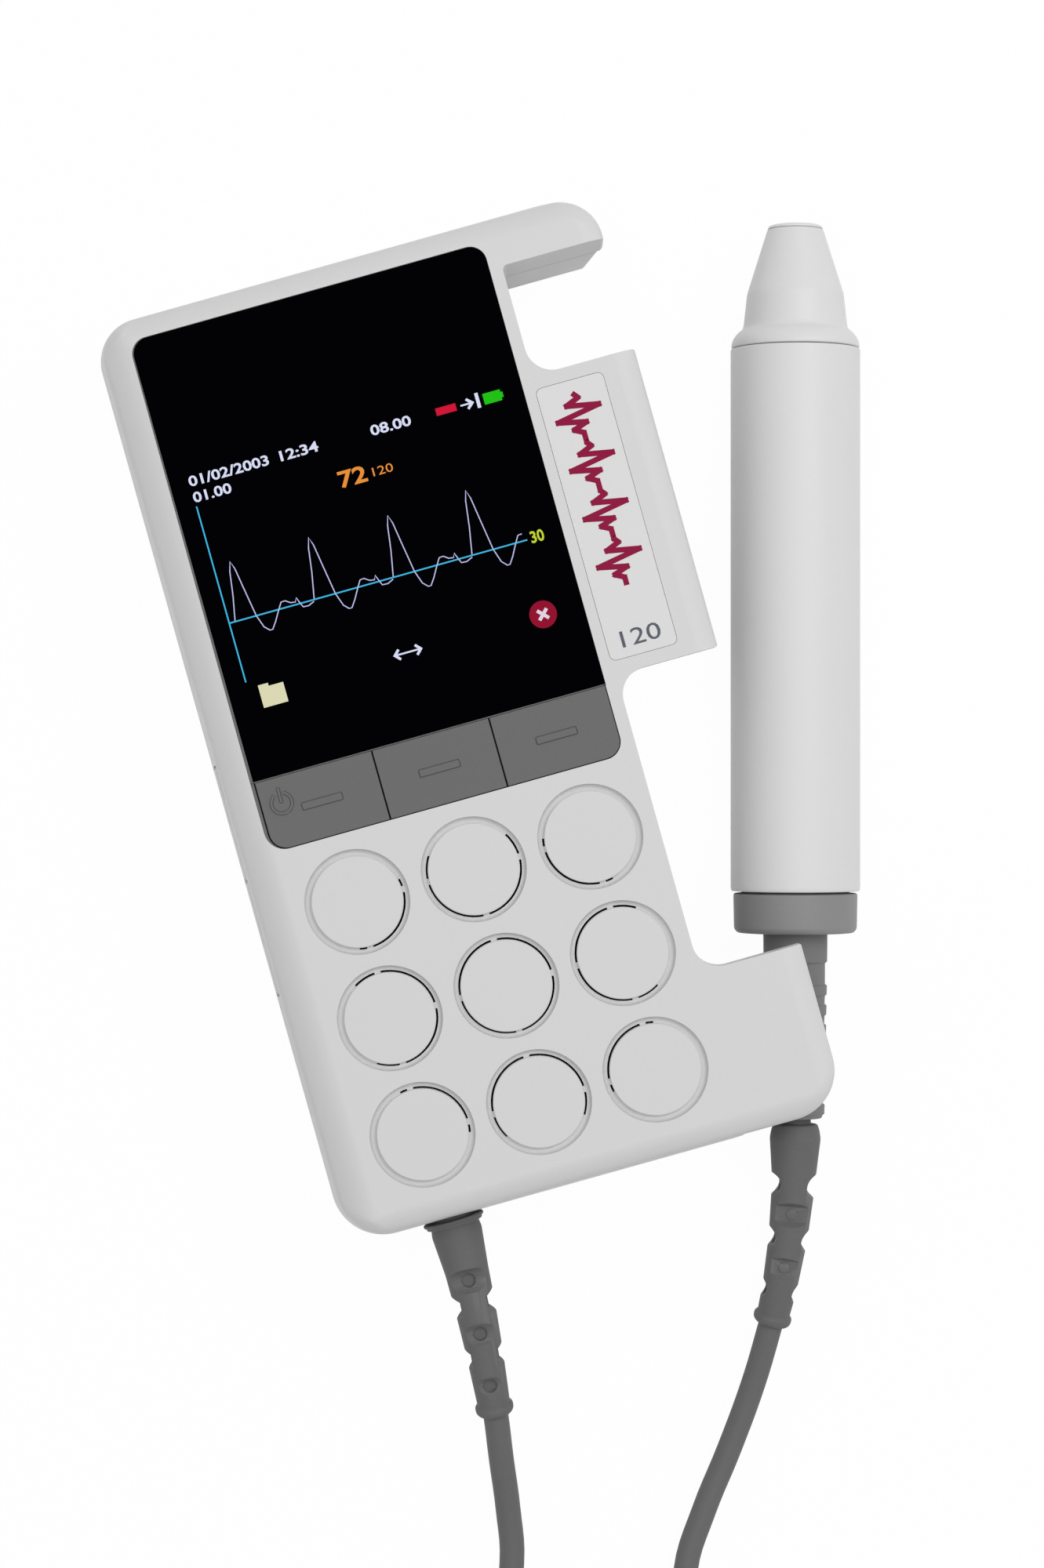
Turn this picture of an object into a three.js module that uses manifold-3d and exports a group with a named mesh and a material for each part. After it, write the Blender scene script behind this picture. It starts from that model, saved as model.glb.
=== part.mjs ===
// Handheld doppler: a pocket unit on its back, a pencil probe beside it and the lead between them.
// Millimetres, +Z up. The origin is the middle of the unit's flat back. +Y points to the probe hook,
// +X to the probe holder, and everything lies on the plane z = 0.
import * as THREE from 'three';
import { mergeVertices } from 'three/addons/utils/BufferGeometryUtils.js';
import Module from 'manifold-3d';

const wasm = await Module();
wasm.setup();

// General sizes
const fit = 0.3; // clearance between touching pieces
const wall = 2.2;
const past = 1; // how far a cutter runs past the face it cuts

// Unit body: its outline is what the front carries, plus the margins and the probe holder
const unitDepth = 27;
const topMargin = 4.85;
const leftMargin = 6;
const rightMargin = 1.9;
const bottomMargin = 6.3;
const holderDepth = 15.5; // how far the hook, the tab and the ear stand out to the right
const bodyCorner = 10;
const lowCorner = 9; // the body's lower left corner
const partingZ = 14.4;
const rearTaper = 2;
const rearTaperHeight = 3;
const innerFillet = 4;
const tipCorner = 0.8;

// Each side of the front leans in from the parting plane up, then rolls over its width and drop
const leftEdge = { lean: 1.8, roll: 4.7, drop: 2.9 };
const rightEdge = { lean: 0.3, roll: 3.4, drop: 1.3 };
const lowEdge = { lean: 1.6, roll: 3, drop: 1.7 };
const highEdge = { lean: 2, roll: 3, drop: 2.2 };
const leastCorner = 1.2;

// Hook, tab and ear that hold the probe
const hookWidth = 8.75;
const hookCorner = 7.8;
const hookStep = 0.45; // the hook's end under the parting plane: its step back and its slope
const hookSlope = 1.9;
const tabFromTop = 25.25;
const tabLength = 44.6;
const earWidth = 25.65;
const earCorner = 9;
const plateThickness = 4.4;
const cradleRadius = 10.4;
const cradleOut = 8.7; // the cradle's centre line, past the box's right side
const cradleZ = 11.4;

// Display
const lensWidth = 52.6;
const lensHeight = 65.65;
const lensCorner = 2.4;
const lensThickness = 1.6;
const lensSunk = 0.25;
const gasketWidth = 0.5;
const lensLedge = 3.2;
const panelThickness = 2.4;
const trayThickness = 1.3;

// Soft keys
const keyHeight = 10.75;
const keyWidths = [17.62, 17.5]; // the left and the middle key; the right key has the rest
const keySplit = 0.35;
const keyTravel = 0.8;
const keyFlange = 1.2;
const keyFlangeThickness = 1;
const keyBarLength = 6;
const keyBarWidth = 1;
const keyBarRise = 0.25;
const keyCorner = 2.6;
const switchSize = 5;
const switchHeight = 1.3;

// Volume keys on the left wall
const volumeAboveLens = 3.8;
const volumeLength = 35;
const volumeUnderBoard = 0.5;
const volumeHeight = 5;
const volumeProud = 0.1;
const volumeSlit = { length: 5.3, height: 1.2 }; // a gap in the wall over the upper key's end
const volumeTravel = 0.7;
const volumeSwitchWidth = 6;
const volumeSwitchHeight = 2.2;
const volumeSwitchReach = 2.4; // how far the switch goes in under the board's edge

// Main board
const boardFromLeft = 6.5;
const boardFromRight = 5;
const boardFromTop = 9.5;
const boardPastKeys = 1.75;
const boardPastVolume = 1.3;
const boardStrip = 3.6;
const boardThickness = 1.6;
const boardGap = 0.85;
const boardPostFromLeft = 5;
const boardPostFromRight = 4.5;
const boardPostFromTop = 3.5;
const boardPostPastKeys = 5.25;
const standoffRadius = 1.8;

// Loudspeaker and its grille
const grilleGap = 2.45;
const grilleFromRight = 0.4; // the rings' outer side, inside the lens's right side
const speakerPitch = 17.4;
const discRadius = 6.64;
const grooveRadius = 7.6;
const grooveDepth = 0.9;
const slotWidth = 0.3;
const slotReach = 21.8;
const bridgeWidth = 0.88;
const discSides = 20;
const basketRim = 1.1;
const coneDepth = 3.2;
const magnetRadius = 9;
const magnetHeight = 1.3;

// Batteries: two AA cells side by side
const cellRadius = 7.25;
const cellLength = 49.2;
const cellButton = 1.1;
const cellButtonRadius = 2.7;
const cellFromRight = [33.9, 18.5];
const cellFromEnd = 7.8;
const springRadius = 3.3;
const springWire = 0.5;
const springTurns = 3;
const contactThickness = 0.6;
const springRoom = 2.6;
const ribWall = 1.4;

// Battery door
const doorThickness = 1.7;
const doorLip = 1.2;
const doorLipZ = 0.9;
const doorRecess = 0.2;
const gripWidth = 10.6;
const gripPitch = 2.4;
const gripFromTop = 9;

// Case screws
const screwInset = 5.2;
const screwFromLeft = 7.4;
const screwHeadRadius = 1.9;
const screwHeadHeight = 1.4;
const screwShank = 1.1;
const screwLength = 16;
const postRadius = 2.3;
const postFoot = 3;
const postFootHeight = 4;
const headDepth = 2.4;

// Label on the tab
const labelWidth = 10;
const labelMargin = [5.7, 2]; // to the tab's outer side and to its ends
const labelCorner = 0.9;
const labelThickness = 0.3;

// Probe: its axis lies level, at the barrel's radius above the table
const probeHeading = new THREE.Vector3(0.26976, 0.96293, 0).normalize();
const barrelRadius = 9.6;
const barrelLength = 80.4;
const barrelWall = 1.4;
const probeAside = 2; // the barrel's foot, past the unit's right side and above its lower end
const probeAbove = 32.4;
const headFlange = 3.3;
const neckLength = 4.8;
const neckRadius = 7.6;
const neckTopRadius = 7.15;
const coneLength = 9.1;
const tipRadius = 4.1;
const faceThickness = 0.9;
const headPlug = 5;
const endRingRadius = 9.15;
const endRingLength = 6.2;
const sealRadius = 0.6;
const crystalThickness = 0.5;
const dampingLength = 6;
const socketRadius = 6.2;
const socketLength = 12;
const plugBore = 3.4;
const probeBoardSize = [11, 1.2, 58];

// Plug on the lead
const collarRadius = 4.775;
const collarLength = 4.5;
const sleeveRadius = 4.75;
const sleeveEndRadius = 4.35;
const sleeveLength = 23;
const ribPitch = 2.95;
const ribDepth = 0.25;
const plugNoseRadius = plugBore - fit;
const plugNoseLength = 10;
const pinRadius = 0.5;
const pinCount = 4;
const pinCircle = 1.6;

// Cable boots, both the same moulding
const bootLength = 31;
const bootRadius = 3.78;
const bootWaistRadius = 3.25;
const bootTailRadius = 2.45;
const bootNeck = 1.9;
const notchRadius = 1.88;
const notchPitch = 8.15;
const firstNotch = 9.4;
const pocketFloor = 2.2;
const pocketMouth = 3.9;
const beadRadius = 2.85;
const beadLength = 1.7;
const glandFromLeft = 16.1;
const glandZ = 13;
const glandFlangeRadius = 4.55;
const glandFlangeThickness = 0.9;
const glandShank = 3;
const glandLip = 0.6; // how far the boot's inner flange stands past its shank
const glandLipThickness = 0.8;

// Lead
const cableRadius = 1.875;
const coilMeanRadius = 22.5;
const coilPitch = 4.3;
const coilLoops = 7;
const coilEntry = THREE.MathUtils.degToRad(120);
const coilExit = THREE.MathUtils.degToRad(344);
const coilAcross = -40;
const coilBelow = 100; // the coil's middle, below the unit's lower end
const coilRest = 0.05; // clearance under the coil and under the tie
const tieThickness = 0.8;
const tieWidth = 8;
const tieRoom = 0.4;
const tieAngle = THREE.MathUtils.degToRad(254);
const tieReach = THREE.MathUtils.degToRad(65); // the coil comes down to the table this far round from the tie

const materials = {
  shell: new THREE.MeshStandardMaterial({ color: 0xd2d2d2, roughness: 0.55 }),
  probe: new THREE.MeshStandardMaterial({ color: 0xdadada, roughness: 0.5 }),
  key: new THREE.MeshStandardMaterial({ color: 0x686868, roughness: 0.75 }),
  rubber: new THREE.MeshStandardMaterial({ color: 0x646464, roughness: 0.8 }),
  ring: new THREE.MeshStandardMaterial({ color: 0x828282, roughness: 0.65 }),
  lens: new THREE.MeshStandardMaterial({ color: 0x050506, roughness: 0.15 }),
  gasket: new THREE.MeshStandardMaterial({ color: 0x696969, roughness: 0.8 }),
  label: new THREE.MeshStandardMaterial({ color: 0xd8d8d8, roughness: 0.5 }),
  board: new THREE.MeshStandardMaterial({ color: 0x1c5a34, roughness: 0.6 }),
  dark: new THREE.MeshStandardMaterial({ color: 0x1d1d1f, roughness: 0.6 }),
  steel: new THREE.MeshStandardMaterial({ color: 0xb9babc, roughness: 0.3, metalness: 1 }),
  cell: new THREE.MeshStandardMaterial({ color: 0x2f4858, roughness: 0.4 }),
  ceramic: new THREE.MeshStandardMaterial({ color: 0xc9b98f, roughness: 0.5 }),
  acoustic: new THREE.MeshStandardMaterial({ color: 0xd0d0d0, roughness: 0.35 }),
};

// Helpers: closed meshes to solids and back
function solid(geometry) {
  const bare = geometry.clone();
  bare.deleteAttribute('normal');
  bare.deleteAttribute('uv');
  const merged = mergeVertices(bare, 1e-4);
  return new wasm.Manifold(new wasm.Mesh({
    numProp: 3,
    vertProperties: new Float32Array(merged.attributes.position.array),
    triVerts: new Uint32Array(merged.index.array),
  }));
}

function geometryOf(manifold) {
  const mesh = manifold.getMesh();
  const geometry = new THREE.BufferGeometry();
  geometry.setAttribute('position', new THREE.BufferAttribute(new Float32Array(mesh.vertProperties), 3));
  geometry.setIndex(new THREE.BufferAttribute(new Uint32Array(mesh.triVerts), 1));
  geometry.computeVertexNormals();
  return geometry;
}

function cut(body, ...cutters) {
  return cutters.reduce((left, cutter) => left.subtract(cutter), body);
}

function join(body, ...others) {
  return others.reduce((left, other) => left.add(other), body);
}

// A polygon whose corners [x, y, radius] are rounded with arcs of a few steps
function roundedOutline(corners, steps = 5) {
  const points = [];
  corners.forEach(([x, y, radius], i) => {
    const corner = new THREE.Vector2(x, y);
    const [beforeX, beforeY] = corners[(i + corners.length - 1) % corners.length];
    const [afterX, afterY] = corners[(i + 1) % corners.length];
    if (radius === 0) {
      points.push(corner);
      return;
    }
    const toBefore = new THREE.Vector2(beforeX, beforeY).sub(corner).normalize();
    const toAfter = new THREE.Vector2(afterX, afterY).sub(corner).normalize();
    const half = Math.acos(THREE.MathUtils.clamp(toBefore.dot(toAfter), -1, 1)) / 2;
    const inward = toBefore.clone().add(toAfter).normalize();
    const centre = inward.multiplyScalar(radius / Math.sin(half)).add(corner);
    const start = toBefore.clone().multiplyScalar(radius / Math.tan(half)).add(corner).sub(centre);
    const end = toAfter.clone().multiplyScalar(radius / Math.tan(half)).add(corner).sub(centre);
    const sweep = Math.atan2(start.cross(end), start.dot(end));
    for (let step = 0; step <= steps; step += 1) {
      points.push(start.clone().rotateAround(new THREE.Vector2(), (sweep * step) / steps).add(centre));
    }
  });
  return new THREE.Shape(points);
}

function rectangle(left, low, right, high, radius = 0, steps = 4) {
  const corners = [[left, low], [right, low], [right, high], [left, high]];
  return roundedOutline(corners.map(([x, y]) => [x, y, radius]), steps);
}

function extrude(shape, low, high) {
  const geometry = new THREE.ExtrudeGeometry(shape, { depth: high - low, bevelEnabled: false });
  return geometry.translate(0, 0, low);
}

function prism(shape, low, high) {
  return solid(extrude(shape, low, high));
}

function block(left, low, bottom, right, high, top) {
  const geometry = new THREE.BoxGeometry(right - left, high - low, top - bottom);
  return solid(geometry.translate((left + right) / 2, (low + high) / 2, (bottom + top) / 2));
}

// A solid of revolution about +Z from [radius, height] pairs, low to high, both ends on the axis
function turned(profile, segments = 24) {
  const points = profile.map(([radius, height]) => new THREE.Vector2(radius, height));
  return new THREE.LatheGeometry(points, segments).rotateX(Math.PI / 2);
}

function rod(radius, low, high, segments = 24) {
  return turned([[0, low], [radius, low], [radius, high], [0, high]], segments);
}

function tube(inner, outer, low, high, segments = 24) {
  return turned([[inner, low], [outer, low], [outer, high], [inner, high], [inner, low]], segments);
}

function along(geometry, x, y, z = 0) {
  return geometry.translate(x, y, z);
}

// The same rod, lying along Y or along X
function rodAlongY(radius, x, z, low, high, segments = 24) {
  return rod(radius, low, high, segments).rotateX(-Math.PI / 2).translate(x, 0, z);
}

const model = new THREE.Group();

function place(name, geometry, material, parent = model) {
  const mesh = new THREE.Mesh(geometry, material);
  mesh.name = name;
  parent.add(mesh);
  return mesh;
}

// Sizes that several pieces share
const boxWidth = leftMargin + lensWidth + rightMargin;
const unitWidth = boxWidth + holderDepth;
const grilleHalf = speakerPitch + grooveRadius;
const unitHeight = topMargin + lensHeight + keyHeight + grilleGap + grilleHalf * 2 + bottomMargin;
const left = -unitWidth / 2;
const right = unitWidth / 2;
const boxRight = left + boxWidth;
const low = -unitHeight / 2;
const high = unitHeight / 2;
const lensLeft = left + leftMargin;
const lensRight = lensLeft + lensWidth;
const lensHigh = high - topMargin;
const lensLow = lensHigh - lensHeight;
const keyLow = lensLow - keyHeight;
const speakerX = lensRight - grilleFromRight - grilleHalf;
const speakerY = low + bottomMargin + grilleHalf;
const tabHigh = high - tabFromTop;
const tabLow = tabHigh - tabLength;
const cradleX = boxRight + cradleOut;
const glandX = left + glandFromLeft;
const cellX = cellFromRight.map((x) => boxRight - x);
const cellLow = low + cellFromEnd;
const screwXs = [left + screwFromLeft, boxRight - screwInset];
const screwPlaces = [high - screwInset, low + screwInset].flatMap((y) => screwXs.map((x) => [x, y]));
const labelRight = right - labelMargin[0];
const labelLeft = labelRight - labelWidth;
const labelLow = tabLow + labelMargin[1];
const labelHigh = tabHigh - labelMargin[1];
const hookLow = high - hookWidth;
const earHigh = low + earWidth;
const plateZ = unitDepth - plateThickness;
const ceiling = unitDepth - wall;
const lensZ = unitDepth - lensSunk - lensThickness;
const ledgeZ = lensZ - 1.9;
const panelTop = lensZ - fit;
const panelZ = panelTop - panelThickness;
const trayZ = panelZ - fit - trayThickness;
const boxInnerRight = cradleX - cradleRadius - wall + 0.2;
const doorLeft = cellX[0] - cellRadius - fit;
const doorRight = cellX[1] + cellRadius + fit;
const doorTop = doorRecess + doorThickness;
const cellZ = doorTop + fit + cellRadius;
const gasketGap = 0.1;
const gasketRoom = gasketWidth + gasketGap * 2;
const keyHigh = lensLow - gasketRoom;
const keyEdges = [lensLeft, lensLeft + keyWidths[0], lensLeft + keyWidths[0] + keyWidths[1], lensRight];
const cellHigh = cellLow + cellLength + cellButton;
const contactFace = cellHigh + fit + contactThickness;
const springSeat = cellLow - fit - springRoom - contactThickness;
const doorHigh = cellHigh + contactThickness;
const boardTopZ = trayZ - boardGap;
const boardZ = boardTopZ - boardThickness;
const boardLeft = left + boardFromLeft;
const boardRight = boxRight - boardFromRight;
const boardTop = high - boardFromTop;
const boardStep = keyLow - boardPastKeys;
const boardPosts = [boardLeft + boardPostFromLeft, boardRight - boardPostFromRight].flatMap((x) => [
  [x, boardTop - boardPostFromTop],
  [x, keyLow + boardPostPastKeys],
]);
const volumeHigh = lensLow + volumeAboveLens;
const volumeLow = volumeHigh - volumeLength;
const volumeZ = boardZ - volumeUnderBoard;
const boardTail = volumeLow - boardPastVolume;
const rimTop = ceiling - fit;
const rimOuter = slotReach + basketRim;
const coneLow = rimTop - coneDepth;
const keyUnderside = boardTopZ + fit + switchHeight + keyTravel + fit;

const barrelFoot = new THREE.Vector3(right + probeAside, low + probeAbove, barrelRadius);
const coilCentre = new THREE.Vector2(coilAcross, low - coilBelow);

// How far an edge has leaned in at a height
function leanAt(edge, z) {
  return (edge.lean * (z - partingZ)) / (unitDepth - partingZ);
}

function rollAt(edge, z) {
  return edge.roll * Math.max(0, 1 - Math.sqrt((unitDepth - z) / edge.drop));
}

// The radius of a corner between two edges at a height: it shrinks as they draw in
function cornerAt(radius, edges, z) {
  const leaned = edges.reduce((sum, edge) => sum + leanAt(edge, z), 0);
  const rolled = edges.reduce((sum, edge) => sum + rollAt(edge, z), 0);
  return Math.max(radius - leaned * 0.35 - rolled, leastCorner);
}

function frontOutline(z) {
  const drawn = (edge) => leanAt(edge, z) + rollAt(edge, z);
  const [west, east] = [left + drawn(leftEdge), right - drawn(rightEdge)];
  const [south, north] = [low + drawn(lowEdge), high - drawn(highEdge)];
  const hookRoom = north - hookLow - tipCorner - 0.05;
  return roundedOutline([
    [west, south, cornerAt(lowCorner, [leftEdge, lowEdge], z)],
    [east, south, cornerAt(earCorner, [rightEdge, lowEdge], z)],
    [east, earHigh, tipCorner],
    [boxRight, earHigh, innerFillet],
    [boxRight, tabLow, innerFillet],
    [east, tabLow, tipCorner],
    [east, tabHigh, tipCorner],
    [boxRight, tabHigh, innerFillet],
    [boxRight, hookLow, tipCorner],
    [east, hookLow, tipCorner],
    [east, north, Math.min(cornerAt(hookCorner, [rightEdge, highEdge], z), hookRoom)],
    [west, north, cornerAt(bodyCorner, [leftEdge, highEdge], z)],
  ]);
}

// The rear outline at a height: the box and the hook only, drawn in by inset
function rearOutline(inset, z) {
  const hookEnd = right - hookStep - hookSlope * (1 - z / partingZ);
  return roundedOutline([
    [left + inset, low + inset, lowCorner - inset],
    [boxRight - inset, low + inset, innerFillet],
    [boxRight - inset, hookLow, tipCorner],
    [hookEnd, hookLow, tipCorner],
    [hookEnd, high - inset, hookCorner - inset],
    [left + inset, high - inset, bodyCorner - inset],
  ]);
}

// A closed loft through level outlines that all have the same number of points
function loft(outlineAt, heights) {
  const rings = heights.map((z) => outlineAt(z).getPoints());
  const count = rings[0].length;
  const positions = rings.flatMap((ring, i) => ring.flatMap((point) => [point.x, point.y, heights[i]]));
  const index = [];
  for (let base = 0; base < (rings.length - 1) * count; base += count) {
    for (let i = base; i < base + count; i += 1) {
      const next = base + ((i + 1 - base) % count);
      index.push(i, next, count + next, i, count + next, count + i);
    }
  }
  const last = (rings.length - 1) * count;
  THREE.ShapeUtils.triangulateShape(rings[0], []).forEach(([a, b, c]) => index.push(a, c, b));
  THREE.ShapeUtils.triangulateShape(rings.at(-1), []).forEach((corners) => {
    index.push(...corners.map((corner) => last + corner));
  });
  const geometry = new THREE.BufferGeometry();
  geometry.setAttribute('position', new THREE.Float32BufferAttribute(positions, 3));
  geometry.setIndex(index);
  return solid(geometry);
}

const rollShares = [1, 0.6, 0.3, 0.1, 0.02, 0];
const rollHeights = rollShares.map((share) => unitDepth - leftEdge.drop * share);
const frontBody = loft(frontOutline, [partingZ, ...rollHeights]);
const rearTop = partingZ - fit;
const rearBody = loft(
  (z) => rearOutline(rearTaper * Math.max(0, 1 - z / rearTaperHeight), z),
  [0, rearTaperHeight, rearTop],
);

const cradle = solid(rodAlongY(cradleRadius, cradleX, cradleZ, low - past, hookLow - fit, 32));

// The hollow of both halves, a wall inside the outline: it leans with the front's sides
function boxCavity(z) {
  const share = Math.max(z, partingZ);
  const [west, south] = [left + wall + leanAt(leftEdge, share), low + wall + leanAt(lowEdge, share)];
  const north = high - wall - leanAt(highEdge, share);
  return roundedOutline([
    [west, south, lowCorner - wall],
    [boxInnerRight, south, innerFillet],
    [boxInnerRight, north, innerFillet],
    [west, north, bodyCorner - wall],
  ]);
}

function hookCavity(z) {
  const share = Math.max(z, partingZ);
  return rectangle(boxInnerRight - past, hookLow + wall, right - wall * 2 - leanAt(rightEdge, share),
    high - wall * 1.3 - leanAt(highEdge, share), tipCorner);
}

const slotInner = left + leftEdge.lean + wall + past;
const slotTop = volumeZ + volumeHeight / 2;
const volumeSlot = join(
  block(left - past, volumeLow, volumeZ - volumeHeight / 2, slotInner, volumeHigh, slotTop),
  block(left - past, volumeHigh - volumeSlit.length, volumeZ,
    slotInner, volumeHigh, slotTop + volumeSlit.height),
);
const glandHole = solid(rodAlongY(glandShank + fit, glandX, glandZ, low - past, low + wall + past, 16));
const glandSeat = solid(rodAlongY(glandShank + glandLip + fit, glandX, glandZ,
  low + wall, low + wall + fit * 2 + glandLipThickness, 16));

function screwPost(x, y, from, to) {
  return solid(along(rod(postRadius, from, to, 12), x, y));
}

// Loudspeaker grille: nine discs, each in a chamfered ring groove with slots towards the middle
function discCentres() {
  const centres = [];
  for (let row = -1; row <= 1; row += 1) {
    for (let column = -1; column <= 1; column += 1) {
      centres.push([speakerX + column * speakerPitch, speakerY + row * speakerPitch]);
    }
  }
  return centres;
}

function grilleCutters() {
  const grooves = discCentres().map(([x, y]) => solid(along(turned([
    [discRadius, unitDepth - grooveDepth],
    [discRadius + slotWidth, unitDepth - grooveDepth],
    [grooveRadius, unitDepth],
    [grooveRadius, unitDepth + past],
    [discRadius, unitDepth + past],
    [discRadius, unitDepth - grooveDepth],
  ], discSides), x, y)));
  const reach = solid(along(rod(slotReach, ceiling - past, unitDepth, 32), speakerX, speakerY));
  const slots = discCentres().map(([x, y]) => {
    const top = unitDepth - grooveDepth / 2;
    const annulus = tube(discRadius, discRadius + slotWidth, ceiling - past, top, discSides);
    const ring = solid(along(annulus, x, y));
    const half = bridgeWidth / 2;
    const bridgeAlong = block(x - half, y - grooveRadius, 0, x + half, y + grooveRadius, unitDepth);
    const bridgeAcross = block(x - grooveRadius, y - half, 0, x + grooveRadius, y + half, unitDepth);
    return cut(ring, bridgeAlong, bridgeAcross).intersect(reach);
  });
  return [...grooves, ...slots];
}

function frontShell() {
  const underPlates = block(boxRight, low - past, 0, right + past, hookLow - fit, plateZ);
  const hollow = loft(boxCavity, [0, partingZ, ceiling]);
  const hookHollow = loft(hookCavity, [0, partingZ, ceiling]);
  const ledge = block(lensLeft - wall, keyLow - wall, ledgeZ,
    lensRight - fit * 2, lensHigh + wall, ceiling + 0.1);
  const lensRecess = prism(roundedOutline([
    [lensLeft - gasketRoom, keyHigh - 0.1, 0],
    [lensRight + gasketRoom, keyHigh - 0.1, 0],
    [lensRight + gasketRoom, lensHigh + gasketRoom, lensCorner + gasketRoom],
    [lensLeft - gasketRoom, lensHigh + gasketRoom, lensCorner + gasketRoom],
  ]), lensZ - fit, unitDepth + past);
  const panelWindow = block(lensLeft + lensLedge, lensLow + lensLedge, 0,
    lensRight - lensLedge, lensHigh - lensLedge, unitDepth);
  const keyWindow = prism(roundedOutline([
    [lensLeft, keyLow, keyCorner],
    [lensRight, keyLow, keyCorner],
    [lensRight, keyHigh + past, 0],
    [lensLeft, keyHigh + past, 0],
  ]), 0, unitDepth + past);
  const posts = screwPlaces.map(([x, y]) => screwPost(x, y, partingZ, ceiling + 0.1));
  const bores = screwPlaces.map(([x, y]) => solid(along(rod(screwShank + 0.3, 0, partingZ + 6, 10), x, y)));
  let shell = cut(frontBody, underPlates, cradle, hollow, hookHollow);
  shell = join(shell, ledge.intersect(loft(boxCavity, [partingZ, unitDepth])), ...posts);
  const basketLow = coneLow - fit * 2 - magnetHeight;
  const basketRoom = solid(along(rod(rimOuter + fit, basketLow, ceiling), speakerX, speakerY));
  return cut(shell, basketRoom, lensRecess, panelWindow, keyWindow, ...bores, volumeSlot, glandHole,
    glandSeat, labelRecess(), ...grilleCutters());
}

function labelOutline(gap) {
  return rectangle(labelLeft - gap, labelLow - gap, labelRight + gap, labelHigh + gap, labelCorner);
}

function labelRecess() {
  return prism(labelOutline(fit / 2), unitDepth - labelThickness - fit, unitDepth + past);
}

function rearShell() {
  const hollow = prism(boxCavity(0), wall, rearTop + past);
  const hookHollow = prism(hookCavity(0), wall * 2, rearTop + past);
  const doorWay = block(doorLeft - fit, low - past, -past, doorRight + fit, doorHigh + fit, doorTop + fit);
  const lipWay = block(doorLeft - doorLip - fit, low - past, doorLipZ, doorRight + doorLip + fit,
    doorHigh + fit, doorTop + fit);
  const crossFace = contactFace + fit;
  const crossWall = block(doorLeft, crossFace, wall - 0.1, doorRight, crossFace + ribWall, rearTop - fit);
  const endWall = block(cellX[0] - springRadius, low + wall - 0.1, doorTop + fit,
    cellX[1] + springRadius, springSeat - fit, rearTop - fit);
  const standoffs = boardPosts.map(([x, y]) => (
    solid(along(rod(standoffRadius, wall - 0.1, boardZ - fit, 10), x, y))));
  const posts = screwPlaces.map(([x, y]) => join(screwPost(x, y, wall - 0.1, rearTop),
    solid(along(rod(postFoot, 0.5, postFootHeight, 12), x, y))).intersect(rearBody));
  const bores = screwPlaces.flatMap(([x, y]) => [
    solid(along(rod(screwShank + fit, -past, rearTop + past, 10), x, y)),
    solid(along(rod(screwHeadRadius + fit, -past, headDepth, 12), x, y)),
  ]);
  let shell = cut(rearBody, hollow, hookHollow, cradle);
  shell = join(shell, crossWall, endWall, ...standoffs, ...posts);
  return cut(shell, doorWay, lipWay, ...bores, volumeSlot, glandHole, glandSeat);
}

// The unit's pieces
function displayLens() {
  return prism(roundedOutline([
    [lensLeft, lensLow, 0],
    [lensRight, lensLow, 0],
    [lensRight, lensHigh, lensCorner],
    [lensLeft, lensHigh, lensCorner],
  ]), lensZ, lensZ + lensThickness);
}

function lensFrame(grow) {
  return roundedOutline([
    [lensLeft - grow, lensLow - grow, 0],
    [lensRight + grow, lensLow - grow, 0],
    [lensRight + grow, lensHigh + grow, lensCorner + grow],
    [lensLeft - grow, lensHigh + grow, lensCorner + grow],
  ]);
}

function lensGasket() {
  const outer = prism(lensFrame(gasketGap + gasketWidth), lensZ, lensZ + lensThickness - gasketGap);
  return cut(outer, prism(lensFrame(gasketGap), 0, unitDepth + past));
}

function windowBlock(gap, from, to) {
  return block(lensLeft + lensLedge + gap, lensLow + lensLedge + gap, from,
    lensRight - lensLedge - gap, lensHigh - lensLedge - gap, to);
}

function softKey(index) {
  const first = index === 0;
  const last = index === keyEdges.length - 2;
  const keyLeft = keyEdges[index] + (first ? fit : keySplit / 2);
  const keyRight = keyEdges[index + 1] - (last ? fit : keySplit / 2);
  const cap = prism(roundedOutline([
    [keyLeft, keyLow + fit, first ? keyCorner - fit : 0],
    [keyRight, keyLow + fit, last ? keyCorner - fit : 0],
    [keyRight, keyHigh - gasketGap, 0],
    [keyLeft, keyHigh - gasketGap, 0],
  ]), keyUnderside, unitDepth);
  const flangeTop = ledgeZ - fit;
  const flange = block(keyLeft + keyCorner, keyLow - keyFlange, flangeTop - keyFlangeThickness,
    keyRight - keyCorner, keyLow + keyFlange * 1.5, flangeTop);
  const middleX = (keyEdges[index] + keyEdges[index + 1]) / 2;
  const middleY = (keyLow + keyHigh) / 2;
  const bar = block(middleX - keyBarLength / 2, middleY - keyBarWidth / 2, unitDepth - 0.1,
    middleX + keyBarLength / 2, middleY + keyBarWidth / 2, unitDepth + keyBarRise);
  return join(cap, flange, bar);
}

function keySwitch(index) {
  const x = (keyEdges[index] + keyEdges[index + 1]) / 2;
  const y = (keyLow + keyHigh) / 2;
  const half = switchSize / 2;
  const base = boardTopZ + fit;
  return join(block(x - half, y - half, base, x + half, y + half, base + switchHeight * 0.7),
    solid(along(rod(half * 0.6, base, base + switchHeight, 12), x, y)));
}

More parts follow.
